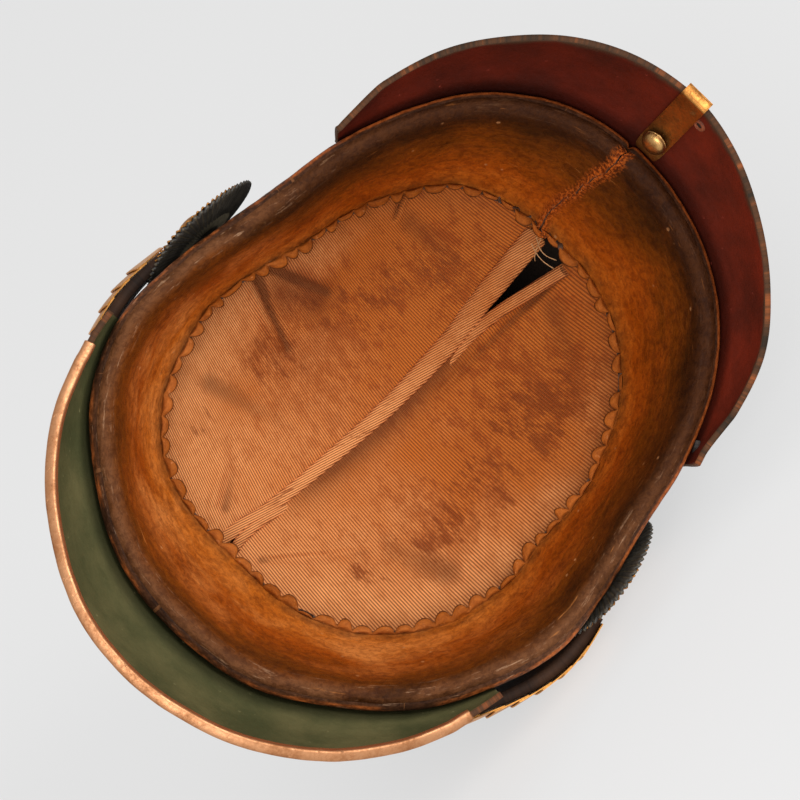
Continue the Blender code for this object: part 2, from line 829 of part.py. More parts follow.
def layDown():
    points, centre = balance()
    down = restingSide(points, centre, Vector((-0.91, -0.02, 0.41)).normalized())
    up = -down
    spikeWay = Vector((0, 0, 1))
    ahead = (spikeWay - up * spikeWay.dot(up)).normalized()
    across = ahead.cross(up)
    turn = Matrix((across, ahead, up))
    turned = [turn @ p for p in points]
    low = Vector([min(p[k] for p in turned) for k in range(3)])
    high = Vector([max(p[k] for p in turned) for k in range(3)])
    shift = Vector((-(low.x + high.x) / 2, -(low.y + high.y) / 2, -low.z))
    rest = bpy.data.objects.new("rest_pose", None)
    partCollection.objects.link(rest)
    for ob in list(partCollection.objects):
        if ob is not rest:
            ob.parent = rest
    rest.matrix_world = Matrix.Translation(shift) @ turn.to_4x4()
    bpy.context.view_layer.update()
    print("turn", [[round(v, 6) for v in row] for row in rest.matrix_world])
    print("balance", [round(v, 5) for v in centre], "size", [round(v, 5) for v in high - low])


clearScene()
partCollection = bpy.data.collections.new("spiked_helmet")
bpy.context.scene.collection.children.link(partCollection)
buildShell()
buildWelt()
buildBand()
buildLining()
buildPeak("front", "front_peak", "frontUnderside")
buildPeak("rear", "rear_peak", "rearUnderside")
buildTrim()
buildSpine()
buildRivet()
buildBase()
buildSpike()
buildStuds()
buildFittings()
buildStrap()
buildScales(1, "left")
buildScales(-1, "right")
buildClasp()
bpy.context.view_layer.update()
layDown()
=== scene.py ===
# Old leather spiked helmet lying on its side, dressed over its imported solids.
import math

import bmesh
import bpy
import numpy as np
from mathutils import Matrix, Vector, noise


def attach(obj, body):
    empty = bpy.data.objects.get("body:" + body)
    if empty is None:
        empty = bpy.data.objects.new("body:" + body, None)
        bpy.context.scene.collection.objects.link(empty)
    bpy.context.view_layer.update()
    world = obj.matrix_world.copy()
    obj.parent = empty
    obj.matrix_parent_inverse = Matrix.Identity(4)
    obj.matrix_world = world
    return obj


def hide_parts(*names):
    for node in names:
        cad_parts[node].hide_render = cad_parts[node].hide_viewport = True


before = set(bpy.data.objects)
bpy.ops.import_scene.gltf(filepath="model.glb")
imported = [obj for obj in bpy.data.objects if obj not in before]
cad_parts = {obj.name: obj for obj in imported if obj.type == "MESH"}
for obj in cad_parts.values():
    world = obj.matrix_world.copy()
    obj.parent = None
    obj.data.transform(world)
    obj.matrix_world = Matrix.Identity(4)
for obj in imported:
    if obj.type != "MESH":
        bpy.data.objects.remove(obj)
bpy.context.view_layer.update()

print("frame loaded")

# The helmet is made about its own axes, +X the wearer's left, +Y the back, +Z the spike,
# and every finished mesh is laid down with this turn. Metres throughout.
restTurn = Matrix((
    (0.119955, 0.992779, 0.0, -0.006571),
    (0.429543, -0.051900, 0.901554, -0.080341),
    (0.895044, -0.108146, -0.432668, 0.102406),
    (0.0, 0.0, 0.0, 1.0),
))
helmet = {
    "halfLength": 0.1075,
    "centreY": 0.0075,
    "rimRise": 0.0043,
    "gap": 0.0003,
    "shellInset": 0.0010,
    "shellHeight": 0.138,
    "shellWall": 0.0026,
    "flareHeight": 0.020,
    "seamAngle": 177.5,                     # where rim and band meet at the back, degrees from the front
}
# Plan outlines as shares of the half length, every 15 degrees from the front to the back
rimShape = {
    "left": (1.0, .999, .972, .949, .893, .803, .744, .737, .783, .850, .932, .983, 1.0),
    "right": (1.0, .995, .961, .939, .905, .880, .828, .808, .848, .909, .963, .990, 1.0),
}
wallShape = {
    "left": (1.0, .997, .968, .940, .890, .818, .762, .757, .800, .868, .940, .984, 1.0),
    "right": (1.0, .997, .968, .940, .890, .826, .776, .772, .812, .876, .944, .986, 1.0),
}
bandShape = {
    "left": (.690, .713, .745, .726, .686, .652, .602, .577, .610, .655, .702, .708, .696),
    "right": (.690, .705, .717, .702, .675, .643, .604, .622, .646, .676, .703, .702, .696),
}
crownShape = {
    "height": (0, .150, .30, .48, .65, .79, .895, .965),
    "reach": (1.0, .996, .980, .925, .825, .680, .490, .270),
}


# Reading the outlines

def curveThrough(before, first, second, after, t):
    return first + 0.5 * t * (second - before + t * (2 * before - 5 * first + 4 * second - after
                                                    + t * (3 * (first - second) + after - before)))


def ringShare(shape, angle):
    # degrees from the front, positive on the wearer's left
    values = list(shape["left"]) + list(shape["right"][-2:0:-1])
    place = (angle % 360.0) / 15.0
    i = int(place)
    n = len(values)
    return curveThrough(values[i - 1], values[i % n], values[(i + 1) % n], values[(i + 2) % n], place - i)


def rowShare(table, column, place):
    xs, ys = table["along"], table[column]
    place = min(max(place, xs[0]), xs[-1])
    i = max(k for k in range(len(xs) - 1) if xs[k] <= place)
    t = (place - xs[i]) / (xs[i + 1] - xs[i])
    if i > 0:
        before = ys[i - 1]
    else:
        before = ys[0] if column in ("left", "right", "drop") else 2 * ys[0] - ys[1]
    after = ys[i + 2] if i + 2 < len(ys) else 2 * ys[-1] - ys[-2]
    return curveThrough(before, ys[i], ys[i + 1], after, t)


def smooth(t):
    t = min(max(t, 0.0), 1.0)
    return t * t * (3 - 2 * t)


def planPoint(angle, radius, z):
    a = math.radians(angle)
    return Vector((radius * math.sin(a), helmet["centreY"] - radius * math.cos(a), z))


def angleAt(x, y):
    return math.degrees(math.atan2(x, helmet["centreY"] - y))


def rimEdge(angle):
    return helmet["halfLength"] * ringShare(rimShape, angle)


def rimLine(angle):
    return helmet["rimRise"] * math.sin(math.radians(angle)) ** 2


def shellFoot(angle):
    return rimLine(angle) + rim["size"] + helmet["gap"] + helmet["shellWall"] * 0.2


def wallRadius(angle, z):
    foot = shellFoot(angle)
    share = min(max((z - foot) / (helmet["shellHeight"] - foot), 0.0), 1.0)
    reach = float(np.interp(share, crownHeights, crownReaches))
    upright = helmet["halfLength"] * ringShare(wallShape, angle) - helmet["shellInset"]
    bent = rimEdge(angle) - helmet["shellInset"]
    return reach * (upright + (bent - upright) * smooth(1 - (z - foot) / helmet["flareHeight"]))


def crownTable():
    # the crown's outline read finely, closed with a round top
    heights, reaches = [], []
    hs = crownShape["height"] + (1.0,)
    rs = crownShape["reach"] + (0.0,)
    for i in range(len(hs) - 1):
        for k in range(6):
            t = k / 6
            j = max(i - 1, 0)
            m = min(i + 2, len(hs) - 1)
            heights.append(hs[i] + (hs[i + 1] - hs[i]) * t)
            if i == len(hs) - 2:
                reaches.append(rs[i] * math.sqrt(1 - t))
            else:
                reaches.append(curveThrough(rs[j], rs[i], rs[i + 1], rs[m], t))
    return heights + [1.0], reaches + [0.0]


def rough(point, size, seed=0.0):
    # an even wandering from -1 to 1, about size metres across
    return noise.noise(Vector(point) / size + Vector((seed, seed * 1.7, seed * 0.6)))


# Making pieces

weldGap = 2e-6                              # points closer than this are one


def newObject(name, data):
    ob = bpy.data.objects.new(name, data)
    bpy.context.scene.collection.objects.link(ob)
    return ob


def finishPiece(bm, name, looks, replaced=(), crease=40):
    mesh = bpy.data.meshes.new(name)
    bm.to_mesh(mesh)
    bm.free()
    here = np.zeros(len(mesh.vertices) * 3)
    mesh.vertices.foreach_get("co", here)
    place = mesh.attributes.new("place", "FLOAT_VECTOR", "POINT")
    place.data.foreach_set("vector", here)
    mesh.transform(restTurn)
    ob = newObject(name, mesh)
    for look in looks:
        mesh.materials.append(look.material)
    mesh.shade_smooth()
    mesh.set_sharp_from_angle(angle=math.radians(crease))
    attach(ob, "root")
    if replaced:
        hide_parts(*replaced)
    return ob


def faceTo(bm, point, away=False):
    # turns an open sheet's faces towards a point, or away from it
    bm.normal_update()
    total = sum((Vector(point) - f.calc_center_median()).dot(f.normal) * f.calc_area() for f in bm.faces)
    if (total < 0) != away:
        bmesh.ops.reverse_faces(bm, faces=bm.faces)


def crowded(s):
    # more columns near the back seam, where s is 0 and 1
    return s - 0.6 / (2 * math.pi) * math.sin(2 * math.pi * s)


def moveAll(bm, matrix):
    bmesh.ops.transform(bm, matrix=matrix, verts=bm.verts)


def faceOut(bm):
    bmesh.ops.recalc_face_normals(bm, faces=bm.faces)


def newMesh():
    bm = bmesh.new()
    bm.loops.layers.uv.new("UVMap")
    return bm


def mapBy(bm, way):
    # lays the UV map by each corner's own place
    layer = bm.loops.layers.uv.active
    for f in bm.faces:
        for loop in f.loops:
            loop[layer].uv = way(loop.vert.co)


def sheet(columns, rows, shape, spread, around=False, crowd=None):
    # a flat grid bent by shape(s, t); its UV map is in metres along and across
    bm = newMesh()
    layer = bm.loops.layers.uv.active
    bmesh.ops.create_grid(bm, x_segments=columns, y_segments=rows, size=0.5, calc_uvs=True)
    for v in bm.verts:
        s = v.co.x + 0.5
        v.co = shape(crowd(s) if crowd else s, v.co.y + 0.5)
    for f in bm.faces:
        for loop in f.loops:
            u, v = loop[layer].uv
            loop[layer].uv = ((crowd(u) if crowd else u) * spread[0], v * spread[1])
    if around:
        bmesh.ops.remove_doubles(bm, verts=bm.verts, dist=weldGap)
    return bm


def giveWall(ob, thickness, far=0, edge=0):
    # grows a wall away from the seen side; far and edge pick the other side's and the rim's look
    wall = ob.modifiers.new("wall", "SOLIDIFY")
    wall.thickness = thickness
    wall.offset = -1
    wall.material_offset = far
    wall.material_offset_rim = edge
    return wall


def turned(profile, steps):
    # (radius, height) pairs from the top of the axis down the outside
    bm = newMesh()
    verts = [bm.verts.new((r, 0, z)) for r, z in profile]
    for a, b in zip(verts, verts[1:]):
        bm.edges.new((a, b))
    bmesh.ops.spin(bm, geom=bm.verts[:] + bm.edges[:], cent=(0, 0, 0), axis=(0, 0, 1),
                   angle=2 * math.pi, steps=steps, use_merge=True)
    bmesh.ops.remove_doubles(bm, verts=bm.verts, dist=weldGap)
    faceOut(bm)
    return bm


def standOn(bm, point, normal):
    moveAll(bm, Matrix.Translation(point) @ normal.to_track_quat("Z", "Y").to_matrix().to_4x4())


def roundProfile(points, steps):
    # a profile smoothed between its points
    out = []
    for i in range(len(points) - 1):
        p = [Vector(points[min(max(k, 0), len(points) - 1)]) for k in (i - 1, i, i + 1, i + 2)]
        for k in range(steps):
            q = curveThrough(*p, k / steps)
            out.append((max(q.x, 0.0), q.y))
    return out + [tuple(points[-1])]


def tube(centres, radius, sides, taper=0.0):
    # a thin round cord through some points, closed at both ends
    bm = newMesh()
    ring = bmesh.ops.create_circle(bm, cap_ends=False, radius=radius, segments=sides)["verts"]
    standOn(bm, centres[0], centres[1] - centres[0])
    edges = list({e for v in ring for e in v.link_edges})
    bmesh.ops.contextual_create(bm, geom=edges)
    for i in range(1, len(centres)):
        made = bmesh.ops.extrude_edge_only(bm, edges=edges)["geom"]
        ring = [g for g in made if isinstance(g, bmesh.types.BMVert)]
        edges = [g for g in made if isinstance(g, bmesh.types.BMEdge)
                 and all(v in ring for v in g.verts)]
        after = centres[min(i + 1, len(centres) - 1)] - centres[i - 1]
        before = centres[i] - centres[max(i - 2, 0)]
        step = Matrix.Translation(centres[i]) @ before.rotation_difference(after).to_matrix().to_4x4()
        bmesh.ops.transform(bm, matrix=step @ Matrix.Translation(-centres[i - 1]), verts=ring)
        if taper:
            size = (1 - taper * i / (len(centres) - 1)) / (1 - taper * (i - 1) / (len(centres) - 1))
            bmesh.ops.scale(bm, vec=(size,) * 3, space=Matrix.Translation(-centres[i]), verts=ring)
    bmesh.ops.contextual_create(bm, geom=edges)
    faceOut(bm)
    return bm


def soften(bm, edges, size):
    bmesh.ops.bevel(bm, geom=edges, offset=size, offset_type="OFFSET", affect="EDGES",
                    segments=2, profile=0.5, material=-1)


def join(bm, other):
    mesh = bpy.data.meshes.new("part")
    other.to_mesh(mesh)
    other.free()
    bm.from_mesh(mesh)
    bpy.data.meshes.remove(mesh)


# Materials: sockets that work in sums, and one method that makes any node

class Wire:
    def __init__(self, look, socket):
        self.look = look
        self.socket = socket

    def math(self, operation, *values):
        return self.look.node("ShaderNodeMath", {"operation": operation}, dict(enumerate(values)))

    def sine(self):
        return self.math("SINE", self)

    def size(self):
        return self.math("ABSOLUTE", self)

    def largest(self, other):
        return self.math("MAXIMUM", self, other)


def giveSum(sign, operation):
    setattr(Wire, "__%s__" % sign, lambda wire, other: wire.math(operation, wire, other))
    setattr(Wire, "__r%s__" % sign, lambda wire, other: wire.math(operation, other, wire))


for sign, operation in (("add", "ADD"), ("sub", "SUBTRACT"), ("mul", "MULTIPLY"),
                        ("truediv", "DIVIDE"), ("pow", "POWER")):
    giveSum(sign, operation)


class Look:
    def __init__(self, name, roughness=0.5, metallic=0.0, specular=0.5):
        self.material = bpy.data.materials.new(name)
        self.material.use_nodes = True
        self.tree = self.material.node_tree
        self.shader = self.tree.nodes["Principled BSDF"]
        self.shader.inputs["Roughness"].default_value = roughness
        self.shader.inputs["Metallic"].default_value = metallic
        self.shader.inputs["Specular IOR Level"].default_value = specular

    def node(self, kind, settings=None, values=None, output=0):
        made = self.tree.nodes.new(kind)
        for key, value in (settings or {}).items():
            if key == "stops":
                value = list(value)
                while len(made.color_ramp.elements) < len(value):
                    made.color_ramp.elements.new(0.5)
                for stop, (at, colour) in zip(made.color_ramp.elements, value):
                    stop.position = at
                    stop.color = (*colour, 1.0)
            else:
                setattr(made, key, value)
        for key, value in (values or {}).items():
            socket = made.inputs[key]
            if isinstance(value, Wire):
                self.tree.links.new(value.socket, socket)
            elif socket.type == "RGBA" and len(value) == 3:
                socket.default_value = (*value, 1.0)
            else:
                socket.default_value = value
        return Wire(self, made.outputs[output])

    def put(self, **links):
        # colour=, roughness=, metallic=, height= (metres)
        names = {"colour": "Base Color", "roughness": "Roughness", "metallic": "Metallic"}
        for key, wire in links.items():
            if key == "height":
                wire = self.node("ShaderNodeBump", None, {"Strength": 1.0, "Distance": 1.0, "Height": wire})
                self.tree.links.new(wire.socket, self.shader.inputs["Normal"])
            else:
                self.tree.links.new(wire.socket, self.shader.inputs[names[key]])

    def place(self):
        return self.node("ShaderNodeAttribute", {"attribute_name": "place"}, None, 1)

    def mark(self, name):
        return self.node("ShaderNodeAttribute", {"attribute_name": name}, None, 2)

    def uv(self):
        return self.node("ShaderNodeUVMap", {"uv_map": "UVMap"})

    def part(self, vector, axis):
        return self.node("ShaderNodeSeparateXYZ", None, {0: vector}, axis)

    def stretched(self, vector, x=1.0, y=1.0, z=1.0, turn=0.0):
        return self.node("ShaderNodeMapping", None, {"Vector": vector, "Scale": (x, y, z), "Rotation": (0, 0, turn)})

    def noise(self, vector, across, detail=3.0, roughness=0.55, distortion=0.0):
        # across is the size of its spots in metres
        return self.node("ShaderNodeTexNoise", None, {"Vector": vector, "Scale": 1 / across, "Detail": detail,
                                                      "Roughness": roughness, "Distortion": distortion})

    def cells(self, vector, across, feature="F1"):
        return self.node("ShaderNodeTexVoronoi", {"feature": feature}, {"Vector": vector, "Scale": 1 / across})

    def ease(self, value, low, high, start=0.0, end=1.0):
        return self.node("ShaderNodeMapRange", {"interpolation_type": "SMOOTHSTEP"},
                         {"Value": value, "From Min": low, "From Max": high, "To Min": start, "To Max": end})

    def ramp(self, value, stops):
        return self.node("ShaderNodeValToRGB", {"stops": stops}, {"Fac": value})

    def blend(self, share, first, second, way="MIX"):
        return self.node("ShaderNodeMix", {"data_type": "RGBA", "blend_type": way, "clamp_factor": True},
                         {0: share, 6: first, 7: second}, 2)

    def lay(self, share, tone, way="MIX"):
        # puts a tone over the colour so far
        self.colour = self.blend(share, self.colour, tone, way)

    def spot(self, place, centre, reach):
        # 1 at a point of the helmet, fading to 0 over reach metres
        gap = self.node("ShaderNodeVectorMath", {"operation": "DISTANCE"}, {0: place, 1: centre}, 1)
        return self.ease(gap, 0.0, reach, 1.0, 0.0)


def plainLook(name, colours, across=0.001):
    look = Look(name, roughness=0.7)
    grain = look.noise(look.place(), across, 4)
    look.put(colour=look.ramp(grain, zip((0.3, 0.7), colours)), height=grain * 0.0002)
    return look


rim = {
    "size": 0.0068,
    "steps": 432,
    "sides": 18,
    "dark": (0.052, 0.020, 0.009),
    "brown": (0.125, 0.044, 0.016),
    "worn": (0.480, 0.125, 0.026),
    "bloomAndHighlight": (0.185, 0.092, 0.050),
    "streak": (0.420, 0.250, 0.150),
    "torn": (0.520, 0.105, 0.022),
    "chip": (0.24, 0.095, 0.035),
    "shade": (0.50, 0.34, 0.22),            # painted shade, multiplied in at the back
    "pit": (0.25, 0.20, 0.15),
}
crownHeights, crownReaches = crownTable()


# Camera, at the photograph's angle to the helmet

camera = {
    "at": (0.0009, -0.1437, -1.1914),
    "roll": -44.2,
    "pitch": 7.0,
    "focal": 169.98,
}


def levelled(x, y, z):
    c, s = math.cos(math.radians(camera["pitch"])), math.sin(math.radians(camera["pitch"]))
    return Vector((x, c * y + s * z, -s * y + c * z))


def addCamera():
    a = math.radians(camera["roll"])
    right = levelled(-math.cos(a), -math.sin(a), 0)
    up = levelled(-math.sin(a), math.cos(a), 0)
    back = right.cross(up)
    turn = Matrix((right, up, back)).transposed()
    data = bpy.data.cameras.new("camera")
    data.lens = camera["focal"]
    data.sensor_width = 36.0
    data.clip_start = 0.05
    data.clip_end = 50.0
    ob = newObject("camera", data)
    ob.matrix_world = restTurn @ (Matrix.Translation(camera["at"]) @ turn.to_4x4())
    bpy.context.scene.camera = ob


addCamera()
print("camera placed")


# Rolled rim: leather turned over a cord, dark and rubbed

def rimPoint(s, t):
    angle = helmet["seamAngle"] + 360.0 * s
    notch = math.exp(-(min(s, 1 - s) / 0.0011) ** 2)      # the ends of the leather meet at the back
    turn = 2 * math.pi * t
    r = rim["size"] / 2
    centre = planPoint(angle, rimEdge(angle) - r, rimLine(angle) + r)
    swell = 1 + 0.05 * rough(centre, 0.012) + 0.03 * rough(centre, 0.003, 4) - 0.42 * notch
    swell *= 1 + (0.06 if s < 0.5 else -0.03) * max(0.0, 1 - min(s, 1 - s) / 0.012)
    out = planPoint(angle, 1.0, 0.0) - planPoint(angle, 0.0, 0.0)
    wave = 0.0004 * rough(centre, 0.03, 9)
    return centre + (out * math.cos(turn) + Vector((0, 0, 1)) * math.sin(turn)) * r * swell + out * wave


def rimLook():
    look = Look("rubbedWelt", roughness=0.6, specular=0.12)
    place = look.place()
    across = look.part(look.uv(), 1) / (math.pi * rim["size"])
    outer = look.ease((across - 0.915).size(), 0.025, 0.075, 1.0, 0.0)     # 0.75 is straight down, 1 outwards
    back = look.ease(look.part(place, 1), -0.02, 0.07)
    wander = look.noise(place, 0.020, 4)
    fine = look.noise(look.stretched(look.uv(), 0.35), 0.0022, 5, 0.65)
    under = look.ease((across - 0.70).size(), 0.01, 0.13, 1.0, 0.0)
    look.colour = look.blend(look.ease(wander, 0.35, 0.7), rim["dark"], rim["brown"])
    # grey bloom on the underside, partly a painted highlight there, weaker at the back
    bloomAndHighlight = under * look.ease(fine + wander + back * 0.10, 0.95, 1.22) * (1 - back * 0.5)
    look.lay(bloomAndHighlight, rim["bloomAndHighlight"])
    # rubbed streaks with a painted highlight along them, fewer at the back
    streaksAndHighlight = look.ease(look.noise(look.stretched(look.uv(), 0.10), 0.0012, 4, 0.75), 0.60, 0.68) * (1 - back * 0.6)
    look.lay(streaksAndHighlight * 0.75, rim["streak"])
    worn = outer * look.ease(wander + fine * 0.7 + back * 0.25, 0.76, 1.06)
    look.lay(worn, rim["worn"])
    pits = look.noise(look.stretched(look.uv(), 0.7), 0.0016, 5, 0.8)
    look.lay(look.ease(pits, 0.58, 0.42) * 0.65, rim["pit"], "MULTIPLY")
    torn = look.spot(place, (0.0095, 0.1290, 0.002), 0.013) * look.ease(fine, 0.40, 0.60)
    look.lay(torn, rim["torn"])
    cracks = look.ease(look.noise(look.stretched(look.uv(), 1.0, 0.06), 0.0035, 3, 0.6, 0.8), 0.60, 0.68)
    chips = cracks * look.ease(look.noise(place, 0.013, 2), 0.5, 0.6)
    look.lay(chips * 0.7, rim["chip"])
    # painted shade: darker towards the back
    look.lay(back * 0.45, rim["shade"], "MULTIPLY")
    look.put(colour=look.colour, roughness=look.ease(fine, 0.3, 0.7, 0.45, 0.68),
             height=fine * 0.00035 - chips * 0.00025 + look.noise(place, 0.006) * 0.0006)
    return look


def addRim():
    bm = sheet(rim["steps"], rim["sides"], rimPoint, (0.62, math.pi * rim["size"]), True, crowded)
    faceOut(bm)
    finishPiece(bm, "rolledRim", [rimLook()], ["rim_welt"], 80)


addRim()
print("rim done")


# Sweatband: wide soft leather with a scalloped edge and a frayed butt seam at the back

band = {
    "height": 0.048,
    "wall": 0.0014,
    "lobes": 72,
    "lobeDepth": 0.0034,
    "lobeSteps": 14,
    "rimTurn": 0.14,                        # the leather goes on over the inner half of the rim
    "root": 0.90,                           # where the scallops turn in
    "seamGap": 0.0002,
    "seamBend": (0, .0004, .0022, .0040, .0060, .0048, .0008),
    "dark": (0.050, 0.0135, 0.001),
    "middle": (0.170, 0.038, 0.001),
    "crestToneAndHighlight": (0.150, 0.056, 0.020),
    "brown": (0.350, 0.066, 0.002),
    "warm": (0.560, 0.148, 0.013),
    "pale": (0.720, 0.265, 0.065),
    "streak": (0.400, 0.230, 0.130),
    "speck": (0.62, 0.30, 0.12),
    "tabs": ((0.120, 0.026, 0.004), (0.380, 0.100, 0.020)),
    "crease": (0.040, 0.012, 0.004),
    "edge": (0.016, 0.006, 0.003),
    "chip": (0.55, 0.20, 0.065),
    "fray": ((0.150, 0.022, 0.002), (0.560, 0.115, 0.012)),
    "cut": ((0.030, 0.012, 0.005), (0.120, 0.045, 0.016)),
    "pit": (0.35, 0.26, 0.18),
    "stain": (0.38, 0.28, 0.20),
    "mapAround": 0.46,                      # the UV map's length and width, metres
    "mapAcross": 0.046,
}


def bandFace(angle, share):
    # inner face: share 0 beside the rim, 1 at the scalloped edge
    foot = rimEdge(angle) - rim["size"] - helmet["gap"] * 2 - 0.0016
    top = helmet["halfLength"] * ringShare(bandShape, angle)
    low = rimLine(angle) + rim["size"] / 2
    bulge = 0.16 * share * (1 - share) * (foot - top)
    return foot + (top - foot) * share + bulge, low + (band["height"] - low) * share


def lobeAt(s):
    # which scallop, and how far across it, with uneven widths
    place = s * band["lobes"] + 0.38 * noise.noise(Vector((s * 52, 3.1, 0)))
    i = math.floor(place)
    return i, place - i


def lobeArch(across):
    return max(1 - abs(2 * across - 1) ** 2.2, 0.0) ** 0.55


def seamBend(t):
    return float(np.interp(t, (0, .14, .35, .55, .75, .88, 1.0), band["seamBend"]))


def bandPoint(s, t):
    # round the inner half of the rim, up the leaning wall, then a short turn into the scallops
    i, across = lobeAt(s)
    size = 0.95 + 0.70 * noise.noise(Vector((i * 0.83, 7.7, 1.3)))
    arch = lobeArch(across)
    tab = max((t - band["root"]) / (1 - band["root"]), 0.0)
    share = max(min((t - band["rimTurn"]) / (band["root"] - band["rimTurn"]), 1.0), 0.0) * 0.965
    angle = helmet["seamAngle"] + 360.0 * s
    step = math.radians(1.0) * bandFace(angle, share)[0]
    end = min(s, 1 - s)
    ragged = 0.5 + 0.5 * noise.noise(Vector((t * 16, 1.0 if s < 0.5 else 9.0, 0)))
    nearSeam = max(0.0, 1 - end / 0.012)
    wobble = 0.0013 * noise.noise(Vector((t * 14, 4.4, 0))) * math.exp(-(end / 0.008) ** 2)
    angle -= (seamBend(t) * math.exp(-(end / 0.035) ** 2) + wobble) / step
    angle += math.copysign(band["seamGap"] * (0.3 + 1.7 * ragged) * nearSeam ** 2 / step, 0.5 - s)
    radius, z = bandFace(angle, share)
    if t < band["rimTurn"]:
        k = 1 - t / band["rimTurn"]
        r = rim["size"] / 2
        turn = math.radians(180 + 105 * k)
        reach = r + 0.0022 * (1 - k) + 0.0005 * k
        radius = rimEdge(angle) - r + reach * math.cos(turn)
        z = rimLine(angle) + r + reach * math.sin(turn)
    here = planPoint(angle, radius, z)
    curl = noise.noise(Vector((i * 1.31, 2.2, 5.1)))
    radius -= tab * (0.0021 + band["lobeDepth"] * 0.5 * (2 * arch - 1)) * size
    z += tab * (0.0004 - 0.0018 * curl * arch) - 0.0014 * arch * math.sin(math.pi * 0.9 * tab)
    calm = 1 - smooth(tab)
    radius += 0.0009 * rough(here, 0.024) * smooth(t / 0.3) * calm + 0.0003 * rough(here, 0.007, 3)
    hollow = 0.0005 * math.exp(-((t - band["root"] + 0.03) / 0.03) ** 2)    # a shallow groove above the scallops
    radius -= (0.0016 if s > 0.5 else 0.0007) * nearSeam ** 3 * (0.1 + 1.3 * ragged) + hollow
    return planPoint(angle, radius, z)


def bandRow(v):
    # half of the rows lie in the scallops
    return v / 0.56 * band["root"] if v < 0.56 else band["root"] + (v - 0.56) / 0.44 * (1 - band["root"])


def bandLook():
    look = Look("wornBandLeather", roughness=0.6, specular=0.1)
    place, uv = look.place(), look.uv()
    share = look.part(uv, 1) / band["mapAcross"]
    x, y = look.part(place, 0), look.part(place, 1)
    wide = look.noise(place, 0.036, 3, 0.6)
    patch = look.noise(look.stretched(uv, 0.5), 0.009, 5, 0.62, 0.6)
    grain = look.cells(uv, 0.0011)
    fine = look.noise(uv, 0.0009, 4, 0.6)
    streak = look.noise(look.stretched(uv, 0.12, 1.0), 0.0028, 4, 0.65)
    # painted light: the front and the wearer's left, where the light falls, are made lighter
    front = look.ease(y - x * 0.25, 0.040, -0.060)
    level = share + (wide - 0.5) * 0.55 + (patch - 0.5) * 0.40 + (streak - 0.5) * 0.24 + front * 0.22
    tones = (band[name] for name in ("dark", "middle", "brown", "warm"))
    look.colour = look.ramp(level, zip((0.16, 0.42, 0.70, 1.0), tones))
    back = look.ease(y, -0.01, 0.08)
    # grey-brown on the turn over the rim: a tone of the leather and a painted highlight, less at the back
    crestToneAndHighlight = look.ease(share + (patch - 0.5) * 0.12, 0.13, 0.04) * look.ease(patch + wide * 0.5, 0.50, 0.85)
    look.lay(crestToneAndHighlight * (1 - back * 0.75), band["crestToneAndHighlight"])
    # rubbed streaks with a painted highlight along them on the turn over the rim, fewer at the back
    streaksAndHighlight = look.ease(look.noise(look.stretched(uv, 0.10), 0.0012, 4, 0.75), 0.58, 0.66)
    streaksAndHighlight = streaksAndHighlight * look.ease(share, 0.16, 0.05)
    look.lay(streaksAndHighlight * (1 - back * 0.8) * 0.7, band["streak"])
    # pale patches on the lit front wall: painted light
    pale = front * look.ease(patch * 0.8 + wide, 0.80, 1.20) * look.ease(share, 0.2, 0.5)
    look.lay(pale * 0.60, band["pale"])
    lines = look.ease(look.noise(look.stretched(uv, 0.09, 1.0), 0.0014, 3, 0.75), 0.63, 0.72)
    scuff = lines * look.ease(wide, 0.42, 0.6)
    look.lay(scuff * 0.40, band["pale"])
    specks = look.ease(look.cells(uv, 0.007), 0.10, 0.04) * look.ease(wide, 0.45, 0.55)
    look.lay(specks * 0.6, band["speck"])
    pits = look.noise(look.stretched(uv, 0.8), 0.0020, 6, 0.8, 0.4)
    look.lay(look.ease(pits, 0.58, 0.40) * 0.55, band["pit"], "MULTIPLY")
    stains = look.ease(look.noise(place, 0.011, 5, 0.72, 0.5), 0.54, 0.66)
    look.lay(stains * 0.45, band["stain"], "MULTIPLY")
    # painted shade on the turn over the rim at the back
    rearRim = look.ease(share, 0.24, 0.10) * back
    look.lay(rearRim * 0.50, rim["shade"], "MULTIPLY")
    tabs = look.mark("tab")
    look.lay(tabs * 0.55, look.blend(look.ease(wide, 0.35, 0.70), *band["tabs"]))
    # painted shade in the creases at the scallops' roots
    look.lay(look.mark("crease") * look.ease(patch, 0.35, 0.60, 0.25, 0.75), band["crease"])
    # dark cut edges of the scallops, with painted shade in the notches between them
    look.lay(look.mark("edge") * 0.90, band["edge"])
    chipped = tabs * look.ease(look.noise(place, 0.0022, 3, 0.7), 0.62, 0.70)
    look.lay(chipped * 0.7, band["chip"])
    fray = look.ease(look.mark("seam") + (patch - 0.5) * 1.2 + (fine - 0.5) * 0.8, 0.35, 0.95)
    look.lay(fray * 0.8, look.blend(look.ease(fine, 0.42, 0.60), *band["fray"]))
    torn = look.spot(place, (0.0095, 0.1250, 0.001), 0.014) * look.ease(fine, 0.40, 0.60)
    look.lay(torn * 0.8, rim["torn"])
    height = grain * 0.00012 + fine * 0.00010 + pits * 0.0005 + patch * 0.0008 + streak * 0.0003
    height = height + look.noise(place, 0.004, 3) * 0.0005
    look.put(colour=look.colour, roughness=look.ease(fine + patch, 0.7, 1.3, 0.50, 0.72),
             height=height - look.mark("crease") * 0.0004 + fray * fine * 0.0007)
    return look


